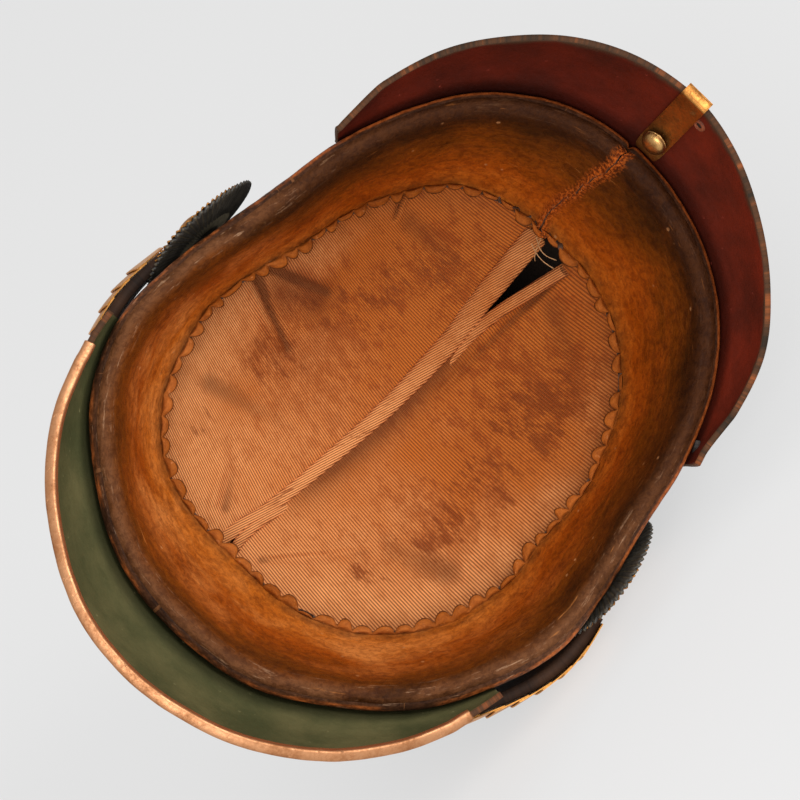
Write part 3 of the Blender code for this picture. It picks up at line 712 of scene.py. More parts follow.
def addBand():
    count = band["lobes"] * band["lobeSteps"]
    bm = sheet(count, 32, lambda s, t: bandPoint(s, bandRow(t)), (band["mapAround"], 1.0), crowd=crowded)
    marks = {name: bm.verts.layers.float.new(name) for name in ("tab", "crease", "edge", "seam")}
    layer = bm.loops.layers.uv.active
    for f in bm.faces:
        for loop in f.loops:
            s, t = loop[layer].uv.x / band["mapAround"], bandRow(min(loop[layer].uv.y, 1.0))
            _, across = lobeAt(s)
            arch = lobeArch(across)
            tab = max((t - band["root"]) / (1 - band["root"]), 0.0)
            v = loop.vert
            v[marks["tab"]] = smooth(tab * 3)
            # crease marks where painted shade lies at the scallops' roots
            v[marks["crease"]] = math.exp(-((tab - 0.10) / 0.14) ** 2) * (0.4 + 0.6 * arch) if t > 0.85 else 0.0
            # edge marks the dark outlines and the painted shade in the notches
            v[marks["edge"]] = max(smooth((tab - 0.86) / 0.12), smooth(tab * 1.5) * (1 - arch) ** 3 * 0.8)
            v[marks["seam"]] = max(0.0, 1 - min(s, 1 - s) / 0.010)
            loop[layer].uv.y = t * band["mapAcross"]
    faceTo(bm, (0, helmet["centreY"], -0.2))
    looks = [bandLook(), plainLook("bandCutEdge", band["cut"], 0.0008)]
    ob = finishPiece(bm, "scallopedBand", looks, ["sweatband"], 50)
    giveWall(ob, band["wall"], 1, 1)


addBand()
print("band done")


# Cloth lining: two ribbed halves that hang between the band and the slit, and the hems along it

lining = {
    "hang": 0.036,
    "hem": 0.0030,
    "slitGap": 0.0100,
    "rib": 0.00093,
    "wall": 0.0009,
    "pale": (0.920, 0.375, 0.130),
    "tan": (0.570, 0.142, 0.016),
    "stain": (0.240, 0.040, 0.002),
    "stainHeight": 0.068,
    "valley": (0.090, 0.020, 0.004),
    "groove": (0.140, 0.030, 0.005),
    "fluff": (0.80, 0.46, 0.22),
    "darkNearBand": (0.20, 0.060, 0.014),
    "tone": (0.52, 0.31, 0.11),
    "pleat": (0.36, 0.26, 0.18),
    "warp": 0.00055,                        # from thread to thread across the ribs
}
slitShape = {
    "along": (0, .07, .25, .5, .75, 1.0),
    "across": (.125, .106, .055, .010, .020, .060),
    "open": (.34, .02, .0, .0, .02, 1.15),
}
# Folds: from and to in plan, how wide, and how deep, positive away from the wearer's head
liningFolds = {
    "left": (
        ((.0680, .0062), (.0400, -.0022), .0016, .0044),
        ((.0680, .0040), (.0430, -.0042), .0018, -.0030),
        ((.0660, .0082), (.0570, .0046), .0010, .0030),
        ((.0650, .0105), (.0440, .0205), .0024, .0046),
        ((.0660, .0130), (.0480, .0260), .0040, -.0026),
        ((.0487, .0605), (.0445, .0528), .0008, .0030),
        ((.0470, .0600), (.0430, .0520), .0010, -.0016),
        ((.0400, .0560), (.0140, .0600), .0060, .0016),
        ((.0500, -.0300), (.0200, -.0200), .0050, .0018),
        ((.0217, -.0575), (.0290, -.0440), .0022, -.0024),
        ((.0180, -.0560), (.0250, -.0440), .0026, .0020),
    ),
    "right": (
        ((-.0080, .0790), (-.0070, .0250), .0016, .0022),
        ((-.0140, .0700), (-.0420, .0560), .0060, .0016),
        ((-.0500, -.0200), (-.0200, -.0300), .0070, .0018),
        ((-.0580, .0200), (-.0300, .0180), .0070, -.0014),
        ((-.0031, -.0605), (-.0262, -.0333), .0016, .0018),
        ((-.0050, -.0560), (-.0270, -.0290), .0022, -.0014),
    ),
}


def slitPoint(along, side):
    halfWidth = helmet["halfLength"] * bandShape["left"][6]
    front = helmet["centreY"] - helmet["halfLength"] * bandShape["left"][0]
    back = helmet["centreY"] + helmet["halfLength"] * bandShape["left"][-1]
    inset = -lining["hem"] * 0.8
    y = front + inset + (back - front - 2 * inset) * along
    x = halfWidth * rowShare(slitShape, "across", along)
    if side < 0:
        x -= helmet["gap"] + lining["slitGap"] * max(rowShare(slitShape, "open", along), 0.0)
    return Vector((x, y, liningHeight(along, 1.0)))


def slitAcross(along):
    step = slitPoint(min(along + 0.02, 1), 1) - slitPoint(max(along - 0.02, 0), 1)
    return Vector((step.y, -step.x, 0)).normalized()


def slitShut(along):
    # 1 where the halves meet, 0 at the holes
    return smooth((along - 0.07) / 0.08) * smooth((0.82 - along) / 0.12)


def liningHeight(along, share):
    hang = math.sin(math.pi * min(max(along, 0.02), 0.98)) ** 0.6
    return band["height"] + 0.0020 + lining["hang"] * hang * (1 - (1 - share) ** 2)


def foldDepth(side, x, y):
    depth = 0.0
    for start, end, width, amount in liningFolds["left" if side > 0 else "right"]:
        ax, ay = start
        bx, by = end
        dx, dy = bx - ax, by - ay
        t = ((x - ax) * dx + (y - ay) * dy) / (dx * dx + dy * dy)
        away = math.hypot(x - ax - dx * min(max(t, 0), 1), y - ay - dy * min(max(t, 0), 1))
        depth += amount * math.exp(-(away / width) ** 2) * (1 - 0.5 * min(max(t, 0), 1))
    return depth


def liningPoint(side, s, t):
    tuck = 0.0020 + helmet["gap"] * 4
    ends = []
    for along in (0.0, 1.0):
        x = slitPoint(along, side).x + side * (0.002 + (lining["hem"] * 2 if side > 0 else 0.0))
        turn = math.degrees(math.asin(x / (helmet["halfLength"] * bandShape["left"][0])))
        ends.append(turn if along == 0.0 else side * 180.0 - turn)
    angle = ends[0] + (ends[1] - ends[0]) * s
    radius, low = bandFace(angle, 0.94)
    start = planPoint(angle, radius + tuck, low)
    radius, _ = bandFace(angle, 1.0)
    lip = planPoint(angle, radius + tuck * 0.85, band["height"] + 0.0010)
    if t < 0.08:
        return start.lerp(lip, t / 0.08)
    share = (t - 0.08) / 0.92
    end = slitPoint(s, side)
    if side > 0:
        end += slitAcross(s) * (lining["hem"] * (1.6 - 0.65 * slitShut(s)))
    p = lip.lerp(end, share)
    ease = smooth(share / 0.05) * smooth((1 - share) / 0.06)
    p.z = liningHeight(s, share)
    p.z += ease * (foldDepth(side, p.x, p.y) + 0.0022 * rough((p.x, p.y, 0), 0.030, 2)
                   + 0.0009 * rough((p.x, p.y, 0), 0.012, 6))
    pucker = math.sin(2 * math.pi * (s * 17 + 0.3 * rough((p.x, p.y, 0), 0.02)))
    p.z += 0.0007 * pucker * smooth(share / 0.05) * (1 - smooth(share / 0.35))
    return p


def ribPlace(side, p):
    # which rib a point lies on: they fan a little on the left half and run aslant on the right
    if side > 0:
        return p.y - 0.16 * p.x + 4.5 * p.x * p.y
    return p.y - 0.06 * p.x + 1.2 * p.x * p.y


def clothLook(name, stains, hem=False):
    look = Look(name, roughness=0.85, specular=0.15)
    place, uv = look.place(), look.uv()
    rib = look.part(uv, 0) * (2 * math.pi / lining["rib"])
    ribs = rib.sine() * 0.5 + 0.5
    warp = (look.part(uv, 1) * (2 * math.pi / lining["warp"])).sine() * 0.5 + 0.5
    wide = look.noise(place, 0.030, 3, 0.6)
    flecks = look.noise(look.stretched(uv, 1.0, 0.30), 0.0019, 6, 0.8)
    fuzz = look.noise(uv, 0.0005, 3)
    y, z = look.part(place, 1), look.part(place, 2)
    # paler towards the front, where the light falls (painted light), near the band, and on the hems (a painted
    # highlight on the rolls)
    paleAndLit = (y * -9.0) + (wide - 0.5) * 1.3 + look.ease(z, 0.074, 0.055) * 0.5 + (0.7 if hem else 0.0)
    paleAndLit = look.ease(paleAndLit, -0.30, 0.80)
    look.colour = look.blend(paleAndLit, lining["tan"], lining["pale"])
    grime = None
    for left, back, reach, strength in stains:
        here = look.spot(place, (left, back, lining["stainHeight"]), reach) * strength
        grime = here if grime is None else grime.largest(here)
    mottle = look.noise(look.stretched(uv, 1.0, 0.5), 0.0060, 4, 0.7)
    dirt = look.ease(grime * 0.80 + (flecks - 0.5) * 2.0 + (mottle - 0.5) * 1.8, 0.38, 0.80)
    worn = look.noise(look.stretched(uv, 1.0, 0.6), 0.0042, 5, 0.75)
    tone = look.ease(worn + (wide - 0.5) * 0.7 + grime * 0.12, 0.46, 0.66) * (1 - paleAndLit * 0.55)
    look.lay(tone * 0.70, lining["tone"], "MULTIPLY")
    look.lay(dirt * 0.84, lining["stain"])
    # painted shade on the cloth beside the pleat
    shade = look.spot(place, (0.0545, 0.0100, 0.064), 0.015).largest(look.spot(place, (0.0440, 0.0160, 0.070), 0.013))
    look.lay(shade * 0.9, lining["pleat"], "MULTIPLY")
    # painted shade in the folds' valleys and painted shadow beside the hem
    look.lay(look.mark("valley") * 0.75, lining["valley"])
    # darker towards the band's edge, with flecks
    darkNearBand = look.ease(z + (flecks - 0.5) * 0.010, 0.064, 0.049)
    look.lay(darkNearBand * 0.45, lining["darkNearBand"])
    # painted shade in the grooves between the ribs
    look.lay((1 - ribs) ** 1.4 * 0.85, lining["groove"])
    look.lay(fuzz * warp * 0.10, lining["fluff"])
    height = ribs * 0.00022 + warp * 0.00003 + fuzz * 0.00006 + look.noise(place, 0.005, 3) * 0.0004
    look.put(colour=look.colour, roughness=look.ease(dirt, 0, 1, 0.88, 0.70), height=height)
    return look


# Stains: plan x, plan y, reach, strength
leftStains = (
    (.0450, -.0089, .016, .9), (.0356, -.0062, .022, 1.0), (.0249, -.0024, .022, .8),
    (.0306, .0203, .024, .9), (.0269, .0311, .026, .95), (.0220, .0382, .022, .85),
    (.0247, .0502, .022, .8), (.0084, -.0142, .022, .6), (.0483, .0112, .014, .7),
    (.0438, -.0416, .012, .5), (.0502, .0319, .014, .4), (.0120, .0080, .022, .5),
)
rightStains = (
    (-.0353, .0462, .022, 1.0), (-.0293, .0384, .026, 1.0), (-.0245, .0294, .026, .9),
    (-.0412, .0380, .018, .9), (-.0323, -.0032, .024, 1.0), (-.0392, -.0130, .020, .95),
    (-.0179, -.0073, .022, .7), (-.0302, -.0388, .014, .7), (-.0330, -.0040, .016, .6),
    (-.0350, .0139, .024, .8), (-.0468, .0108, .016, .6), (-.0306, -.0239, .016, .6),
    (-.0120, .0200, .020, .6),
)
hemStains = (
    (.006, -.010, .026, 1.0), (.003, .012, .026, 1.0), (.002, .034, .018, .8), (.010, -.034, .020, .8),
)


def addLining():
    for side, name, stains in ((1, "liningLeft", leftStains), (-1, "liningRight", rightStains)):
        bm = sheet(240, 150, lambda s, t: liningPoint(side, s, t), (1.0, 1.0))
        valley = bm.verts.layers.float.new("valley")
        front, back = slitPoint(0, -1).y, slitPoint(1, -1).y
        for v in bm.verts:
            # painted shade in the folds' valleys
            v[valley] = min(max((foldDepth(side, v.co.x, v.co.y) - 0.0008) / 0.0014, 0.0), 1.0)
            if side < 0:                    # the other half's hem casts a painted shadow on this one
                along = min(max((v.co.y - front) / (back - front), 0.0), 1.0)
                gap = slitPoint(along, -1).x - v.co.x
                under = 1.15 * math.exp(-(gap / 0.0062) ** 2)
                under *= smooth((along - 0.10) / 0.25) * smooth((0.80 - along) / 0.15)
                v[valley] = max(v[valley], min(under, 1.0))
        mapBy(bm, lambda p: (ribPlace(side, p), p.x))
        faceTo(bm, (0, 0, -1))
        area = sum(f.calc_area() for f in bm.faces)
        node = "lining_left" if side > 0 else "lining_right"
        ob = finishPiece(bm, name, [clothLook(name + "Cloth", stains)], [node], 60)
        giveWall(ob, lining["wall"])


def hemPoint(s, t):
    # the left half's rolled hem; it sags over the right half
    along = 0.985 * s + 0.006
    turn = 2 * math.pi * t
    across = slitAcross(along)
    shut = slitShut(along)
    centre = slitPoint(along, 1) + across * lining["hem"] * (1 - 0.45 * shut)
    centre.z += 0.0012 - lining["hem"] * 0.3 - 0.0005 * shut
    flat = 1 + 0.16 * math.cos(2 * turn) + 0.05 * rough(centre, 0.006)
    end = min(s, 1 - s) / 0.012
    r = (lining["hem"] - helmet["gap"]) * flat * (0.68 + 0.66 * smooth((along - 0.1) / 0.85)) * (min(end, 1.0) ** 0.5)
    return centre + (across * math.cos(turn) + Vector((0, 0, 1)) * math.sin(turn)) * r


def addHems():
    bm = sheet(300, 20, hemPoint, (1.0, 1.0), around=True)
    mapBy(bm, lambda p: (1.15 * (p.x + 0.33 * p.y), p.y))
    faceOut(bm)
    finishPiece(bm, "slitHem", [clothLook("hemCloth", hemStains, True)], ["lining_hem"], 60)
    # the right half's narrow turned edge, widest at the back
    points = []
    for k in range(60):
        along = 0.97 - 0.94 * k / 59
        p = slitPoint(along, -1) - slitAcross(along) * (0.0014 - 0.0016 * smooth((0.36 - along) / 0.2))
        tuck = 0.0046 * smooth((along - 0.10) / 0.16) * smooth((0.84 - along) / 0.28)
        points.append(p + Vector((0, 0, tuck - 0.0003)) - slitAcross(along) * tuck * 0.5)
    bm = tube(points, 0.0023, 12, 0.25)
    mapBy(bm, lambda p: (1.15 * (p.x + 0.30 * p.y), p.y))
    finishPiece(bm, "rightEdgeFold", [clothLook("foldCloth", hemStains, True)], (), 60)


addLining()
addHems()
print("lining done")


# Peaks: moulded leather, green under the front and red-brown under the back

peaks = {
    "wall": 0.0020,
    "flange": 0.009,
    "rubbedFrom": 0.93,                       # where the underside's worn edge begins
    "front": {"reach": .0185, "drop": .0340, "half": 60.0,
              "base": (0.120, 0.105, 0.042), "dark": (0.055, 0.058, 0.022), "worn": (0.16, 0.11, 0.045)},
    "rear": {"reach": .0160, "drop": .0300, "half": 60.0,
             "base": (0.170, 0.017, 0.006), "dark": (0.075, 0.011, 0.005), "worn": (0.060, 0.030, 0.016)},
    "edge": ((0.028, 0.018, 0.011), (0.090, 0.036, 0.015), (0.300, 0.080, 0.022)),
    "aside": (0.45, 0.42, 0.40),
}
peakEdges = {
    "front": {
        "along": (0, .167, .333, .5, .667, .833, .917, 1.0),
        "left": (1.0, .960, .825, .690, .455, .200, .130, .070),
        "right": (1.0, .907, .839, .758, .541, .307, .170, .070),
        "drop": (1.0, .965, .875, .725, .540, .320, .220, .070),
    },
    "rear": {
        "along": (0, .167, .333, .5, .667, .833, .917, 1.0),
        "left": (1.0, .955, .860, .720, .650, .450, .230, .050),
        "right": (1.0, .890, .740, .636, .580, .320, .130, .030),
        "drop": (1.0, .960, .840, .670, .460, .220, .110, .050),
    },
}


def peakRow(which, place):
    # underside at one station, from the top of its upright edge to its tip
    table = peakEdges[which]
    angle = place * peaks[which]["half"]
    if which == "rear":
        angle = 180.0 - angle
    out = peaks[which]["reach"] * rowShare(table, "left" if place >= 0 else "right", abs(place))
    down = peaks[which]["drop"] * rowShare(table, "drop", abs(place))
    edge, line, gap = rimEdge(angle), rimLine(angle), helmet["gap"]
    root = Vector((edge + gap * 2, line + rim["size"] * 0.75))
    tip = Vector((edge + gap * 2 + max(out, 0.0012), min(line - 0.001, -down)))
    top = shellFoot(angle) + peaks["flange"]
    high = Vector((wallRadius(angle, top) + gap, top))
    foot = Vector((wallRadius(angle, shellFoot(angle)) + gap, shellFoot(angle)))
    taper = 0.35 + 0.65 * smooth((1 - abs(place)) / 0.3)
    stops = [foot.lerp(high, taper), foot.lerp(high, 0.1), root]
    side = Vector((tip.y - root.y, root.x - tip.x)).normalized()
    for share in (0.25, 0.5, 0.75, 1.0):
        crown = 0.05 * (tip - root).length * math.sin(math.pi * share)
        stops.append(root.lerp(tip, share) - side * crown)
    return [planPoint(angle, s.x, s.y) for s in stops]


def peakPoint(which, s, t):
    row = peakRow(which, 2 * s - 1)
    place = t * (len(row) - 1)
    i = min(int(place), len(row) - 2)
    before, after = row[max(i - 1, 0)], row[min(i + 2, len(row) - 1)]
    if i == 2:
        before = row[2] * 2 - row[3]       # keeps the corner beside the rim crisp
    if i == 1:
        after = row[2] * 2 - row[1]
    return curveThrough(before, row[i], row[i + 1], after, place - i)


def edgeFrame(which, place):
    step = 0.01
    here = peakRow(which, place)
    before = peakRow(which, max(place - step, -1))[-1]
    after = peakRow(which, min(place + step, 1))[-1]
    out = here[-1] - here[-2]
    length = out.length * 2
    out.normalize()
    up = (after - before).normalized().cross(out)
    if up.z < 0:
        up = -up
    return here[-1], out, up.normalized(), length


lacquer = {
    "deep": (0.0085, 0.0075, 0.0068),
    "grey": (0.021, 0.016, 0.012),
    "craze": (0.060, 0.034, 0.018),
    "scuff": (0.085, 0.048, 0.026),
    "inside": ((0.022, 0.012, 0.007), (0.060, 0.030, 0.015)),
}


def blackLook(name="lacqueredShell"):
    look = Look(name, roughness=0.3, specular=0.5)
    place = look.place()
    wide = look.noise(place, 0.035, 4, 0.6)
    fine = look.noise(place, 0.0016, 5, 0.65)
    craze = look.ease(look.cells(place, 0.0065, "DISTANCE_TO_EDGE"), 0.0, 0.035, 1.0, 0.0)
    craze = craze * look.ease(wide, 0.45, 0.65)
    scuff = look.ease(look.noise(look.stretched(place, 1.0, 1.0, 0.15), 0.004, 4, 0.7), 0.63, 0.72)
    scuff = scuff * look.ease(wide, 0.42, 0.6)
    look.colour = look.blend(look.ease(wide, 0.3, 0.75), lacquer["deep"], lacquer["grey"])
    look.lay(craze * 0.5, lacquer["craze"])
    look.lay(scuff * 0.55, lacquer["scuff"])
    look.put(colour=look.colour, roughness=look.ease(fine * 0.6 + wide * 0.6 + scuff * 0.3, 0.45, 0.95, 0.20, 0.50),
             height=fine * 0.00010 - craze * 0.00022 - scuff * 0.00008 + look.noise(place, 0.008, 3) * 0.0007)
    return look


def undersideLook(which):
    look = Look(which + "Underside", roughness=0.7, specular=0.12)
    base, dark, worn = (peaks[which][part] for part in ("base", "dark", "worn"))
    place, uv = look.place(), look.uv()
    edge = look.part(uv, 1)                   # 0 at the rim, 1 at the peak's own edge
    wide = look.noise(place, 0.030, 4, 0.6)
    fine = look.noise(place, 0.0011, 5, 0.65)
    streak = look.noise(look.stretched(uv, 14.0, 2.0), 0.9, 4, 0.7)
    specks = look.ease(look.cells(place, 0.0060), 0.12, 0.05) * look.ease(fine, 0.5, 0.6)
    look.colour = look.blend(look.ease(wide + streak * 0.4, 0.45, 0.95), base, dark)
    look.lay(look.ease(edge, 0.50, 0.38) * 0.65, tuple(c * 0.25 for c in dark))
    if which == "rear":                       # its left half is darker
        aside = look.ease(look.part(place, 0) + (wide - 0.5) * 0.05, -0.035, 0.035)
        look.lay(aside * 0.75, peaks["aside"], "MULTIPLY")
    rub = look.ease(edge + (streak - 0.5) * 0.12 + (wide - 0.5) * 0.10, peaks["rubbedFrom"], 0.995)
    look.lay(rub, worn)
    look.lay(specks * 0.5, tuple(min(c * 2.4 + 0.03, 1) for c in base))
    look.put(colour=look.colour, roughness=look.ease(fine, 0.3, 0.7, 0.50, 0.72),
             height=fine * 0.00012 + streak * 0.00015 + look.noise(place, 0.010, 3) * 0.0008)
    return look


def peakEdgeLook(which):
    look = Look(which + "PeakEdge", roughness=0.7, specular=0.15)
    place = look.place()
    wide = look.noise(place, 0.012, 4, 0.65)
    fine = look.noise(place, 0.0012, 4)
    look.colour = look.ramp(wide + (fine - 0.5) * 0.4, zip((0.35, 0.55, 0.72), peaks["edge"]))
    look.put(colour=look.colour, height=fine * 0.0003)
    return look


def addPeaks():
    for which in ("front", "rear"):
        bm = sheet(160, 30, lambda s, t: peakPoint(which, s, t), (1.0, 1.0))
        faceTo(bm, (0, 0, -1))
        looks = [undersideLook(which), blackLook(which + "Top"), peakEdgeLook(which)]
        ob = finishPiece(bm, which + "Peak", looks, [which + "_peak"], 40)
        giveWall(ob, peaks["wall"], 1, 2)


addPeaks()
print("peaks done")


# Brass: trim, spine, rivet, spike, studs, bosses and scales

metal = {
    "brass": (0.700, 0.400, 0.145),
    "dull": (0.290, 0.140, 0.045),
    "orange": (0.680, 0.310, 0.075),
    "tarnished": (0.480, 0.205, 0.050),
    "brown": (0.160, 0.058, 0.014),
    "copper": (0.620, 0.300, 0.145),
    "copperDull": (0.360, 0.150, 0.060),
    "dirt": (0.045, 0.026, 0.014),
}


def brassLook(name, bright, dull, grime=0.35, roughness=0.32):
    look = Look(name, roughness=roughness, metallic=1.0)
    place = look.place()
    wide = look.noise(place, 0.012, 4, 0.6)
    fine = look.noise(place, 0.0012, 5, 0.7)
    scratch = look.ease(look.noise(look.stretched(place, 1.0, 0.08, 1.0, 0.5), 0.0009, 3, 0.7), 0.62, 0.70)
    look.colour = look.blend(look.ease(wide + (fine - 0.5) * 0.5, 0.35, 0.75), bright, dull)
    spots = look.ease(look.noise(place, 0.0045, 5, 0.75), 0.60, 0.70)
    look.lay(spots * grime, metal["dirt"])
    look.put(colour=look.colour, metallic=1 - spots * grime * 0.9,
             roughness=look.ease(wide * 0.5 + fine * 0.5 + spots * 0.3, 0.3, 0.8, roughness * 0.75, roughness * 1.55),
             height=fine * 0.00006 - scratch * 0.00004 + look.noise(place, 0.006, 2) * 0.0003)
    return look


brass = brassLook("agedBrass", metal["brass"], metal["dull"])
darkBrass = brassLook("tarnishedBrass", metal["tarnished"], metal["brown"], 0.5, 0.42)
scaleBrass = brassLook("scaleBrass", metal["orange"], metal["tarnished"], 0.4, 0.38)
copper = brassLook("copperyTrim", metal["copper"], metal["copperDull"], 0.3, 0.5)

trim = {"wall": 0.0006, "width": 0.0034, "reach": 0.90}


def trimPoint(s, t):
    # a flattened ring round the peak's edge, closed at both ends
    place = trim["reach"] * (2 * s - 1)
    edge, out, up, length = edgeFrame("front", place)
    leg = min(trim["width"], 0.6 * length)
    turn = 2 * math.pi * t
    wide = (leg + helmet["gap"] + trim["wall"]) / 2
    tall = peaks["wall"] / 2 + helmet["gap"] + trim["wall"]
    middle = edge + out * (wide - leg) + up * peaks["wall"] / 2
    c, n = math.cos(turn), math.sin(turn)
    bend = 0.55
    x = math.copysign(abs(c) ** bend, c) * wide
    y = math.copysign(abs(n) ** bend, n) * tall
    closing = min(1.0, min(s, 1 - s) / 0.004) ** 0.5
    return middle + out * x * closing + up * (y + 0.00012 * rough(edge, 0.006)) * closing


def addTrim():
    bm = sheet(200, 20, trimPoint, (0.3, 0.012), around=True)
    faceOut(bm)
    finishPiece(bm, "peakTrim", [copper], ["front_peak_trim"], 50)


addTrim()
print("trim done")

spine = {"width": 0.0098, "wall": 0.0008, "baseRadius": 0.034, "rivetRadius": 0.0043, "rivetHeight": 0.0029}


def wallStation(angle, k):
    # the shell's own courses, as the solids have them
    foot = shellFoot(angle)
    z = foot + peaks["flange"]
    if k != 1:
        z = foot + (helmet["shellHeight"] - foot) * crownShape["height"][max(k - 1, 0)]
    return planPoint(angle, wallRadius(angle, z), z)


def acrossFrom(a, b):
    # square to the line from b to a, in the helmet's middle plane
    return Vector((0, a.z - b.z, b.y - a.y)).normalized()


def spinePath():
    path = []
    gap = helmet["gap"] * 2
    centre = helmet["centreY"]
    for k in range(7, 1, -1):
        p, above, below = (wallStation(180.0, k + d) for d in (0, 1, -1))
        if p.y - centre < spine["baseRadius"] + 0.001:
            continue
        normal = acrossFrom(above, below)
        if p.z < shellFoot(180.0) + peaks["flange"] + 0.008:
            break
        path.append(p + normal * (gap + 0.0004))
    under = peakRow("rear", 0.0)
    normals = [acrossFrom(under[max(i - 1, 0)], under[min(i + 1, len(under) - 1)]) for i in range(len(under))]
    tops = [p + n * (peaks["wall"] + gap * 1.5) for p, n in zip(under, normals)]
    path.append(tops[0] + Vector((0, 0, 0.0035)))
    path += tops[1:-1]
    edge, out, up, _ = edgeFrame("rear", 0.0)
    path.append(edge + up * (peaks["wall"] + gap))
    path.append(edge + out * (gap + 0.0002) + up * (peaks["wall"] + gap * 0.5))
    path.append(edge + out * (gap + 0.0002) - up * gap * 0.5)
    path.append(edge - up * (gap + 0.0001) - out * 0.0006)
    for i in (5, 4, 3):
        path.append(under[i] - normals[i] * (gap + 0.0001))
    path.append(under[2].lerp(under[3], 0.24) - normals[3] * (gap + 0.0002))
    return path


def spinePoint(s, t):
    place = s * (len(spineLine) - 1)
    i = min(int(place), len(spineLine) - 2)
    p = [spineLine[min(max(k, 0), len(spineLine) - 1)] for k in (i - 1, i, i + 1, i + 2)]
    here = curveThrough(*p, place - i)
    across = (t - 0.5) * spine["width"]
    end = min(1.0, (1 - s) * 30)
    across *= 0.75 + 0.25 * math.sqrt(end)
    return here + Vector((across, 0, 0))


def addSpine():
    bm = sheet(160, 8, spinePoint, (0.2, spine["width"]))
    faceTo(bm, (0, 0.05, 0.03), away=True)
    ob = finishPiece(bm, "rearSpine", [darkBrass], ["rear_spine"], 40)
    wall = giveWall(ob, spine["wall"])
    wall.offset = 1
    bevel = ob.modifiers.new("softEdges", "BEVEL")
    bevel.width = 0.00025
    bevel.segments = 2
    bevel.limit_method = "ANGLE"


def dome(radius, height, foot, steps=10):
    profile = []
    for i in range(steps + 1):
        a = math.pi / 2 * i / steps
        profile.append((radius * math.sin(a), foot + (height - foot) * math.cos(a)))
    return profile + [(radius * 1.04, foot * 0.5), (radius * 1.02, 0.0), (0.0, 0.0)]


def addRivet():
    a, b = spineLine[-1], spineLine[-4]
    point = a.lerp(b, 0.30)
    down = acrossFrom(a, b)
    if down.z > 0:
        down = -down
    bm = turned(dome(spine["rivetRadius"], spine["rivetHeight"], 0.0004), 40)
    standOn(bm, point + down * (spine["wall"] + helmet["gap"]), down)
    finishPiece(bm, "spineRivet", [brass], ["spine_rivet"], 50)


spineLine = spinePath()
addSpine()
addRivet()
print("spine done")


# Shell: pressed leather, lacquered outside and bare inside

def innerLook():
    look = Look("bareShellInside", roughness=0.75)
    place = look.place()
    wide = look.noise(place, 0.025, 4)
    fine = look.noise(place, 0.0012, 4)
    look.colour = look.ramp(wide, zip((0.3, 0.7), lacquer["inside"]))
    look.put(colour=look.colour, height=fine * 0.0003)
    return look


def shellPoint(s, t):
    angle = 360.0 * s
    foot = shellFoot(angle)
    share = math.sin(t * math.pi / 2) if t < 1 else 1.0
    z = foot + (helmet["shellHeight"] - foot) * share
    return planPoint(angle, wallRadius(angle, z), z)


def addShell():
    bm = sheet(216, 44, shellPoint, (0.6, 0.2), around=True)
    faceTo(bm, (0, 0, 0.05), away=True)
    ob = finishPiece(bm, "leatherShell", [blackLook(), innerLook()], ["shell"], 60)
    giveWall(ob, helmet["shellWall"], 1, 1)


def shellTopAt(angle, radius):
    low, high = 0.6 * helmet["shellHeight"], helmet["shellHeight"]
    for _ in range(24):
        middle = (low + high) / 2
        if wallRadius(angle, middle) > radius:
            low = middle
        else:
            high = middle
    return low


addShell()
print("shell done")


# Spike on its round base with four studs

spikeSet = {
    "baseRadius": 0.0340,
    "baseWall": 0.0008,
    "neckRadius": 0.0135,
    "neckHeight": 0.0200,
    "bead": 0.0024,
    "radius": 0.0098,
    "height": 0.0720,
    "tip": 0.0016,
    "studRadius": 0.0045,
    "studHeight": 0.0038,
    "studCircle": 0.0265,
}
neckShape = {
    "along": (0, .15, .3, .55, .8, .9, .97, 1.0),
    "radius": (1.133, 1.05, .92, .86, .94, .98, .6, 0.0),
    "height": (.165, .24, .38, .6, .92, 1.0, 1.03, 1.04),
}


def basePoint(s, t):
    # the plate lies on the crown to a shoulder, and the neck stands on it
    angle = 360.0 * s
    q = spikeSet
    top = helmet["shellHeight"]
    if t < 0.45:
        radius = q["baseRadius"] * (1 - 0.55 * t / 0.45)
        z = shellTopAt(angle, radius) + helmet["gap"] * 3 + 0.0004 * smooth(t / 0.05)
        return planPoint(angle, radius, z + 0.0022 * smooth((t - 0.33) / 0.12))
    k = (t - 0.45) / 0.55
    radius, rise = (float(np.interp(k, neckShape["along"], neckShape[column])) for column in ("radius", "height"))
    return planPoint(angle, q["neckRadius"] * radius, top + q["neckHeight"] * rise)


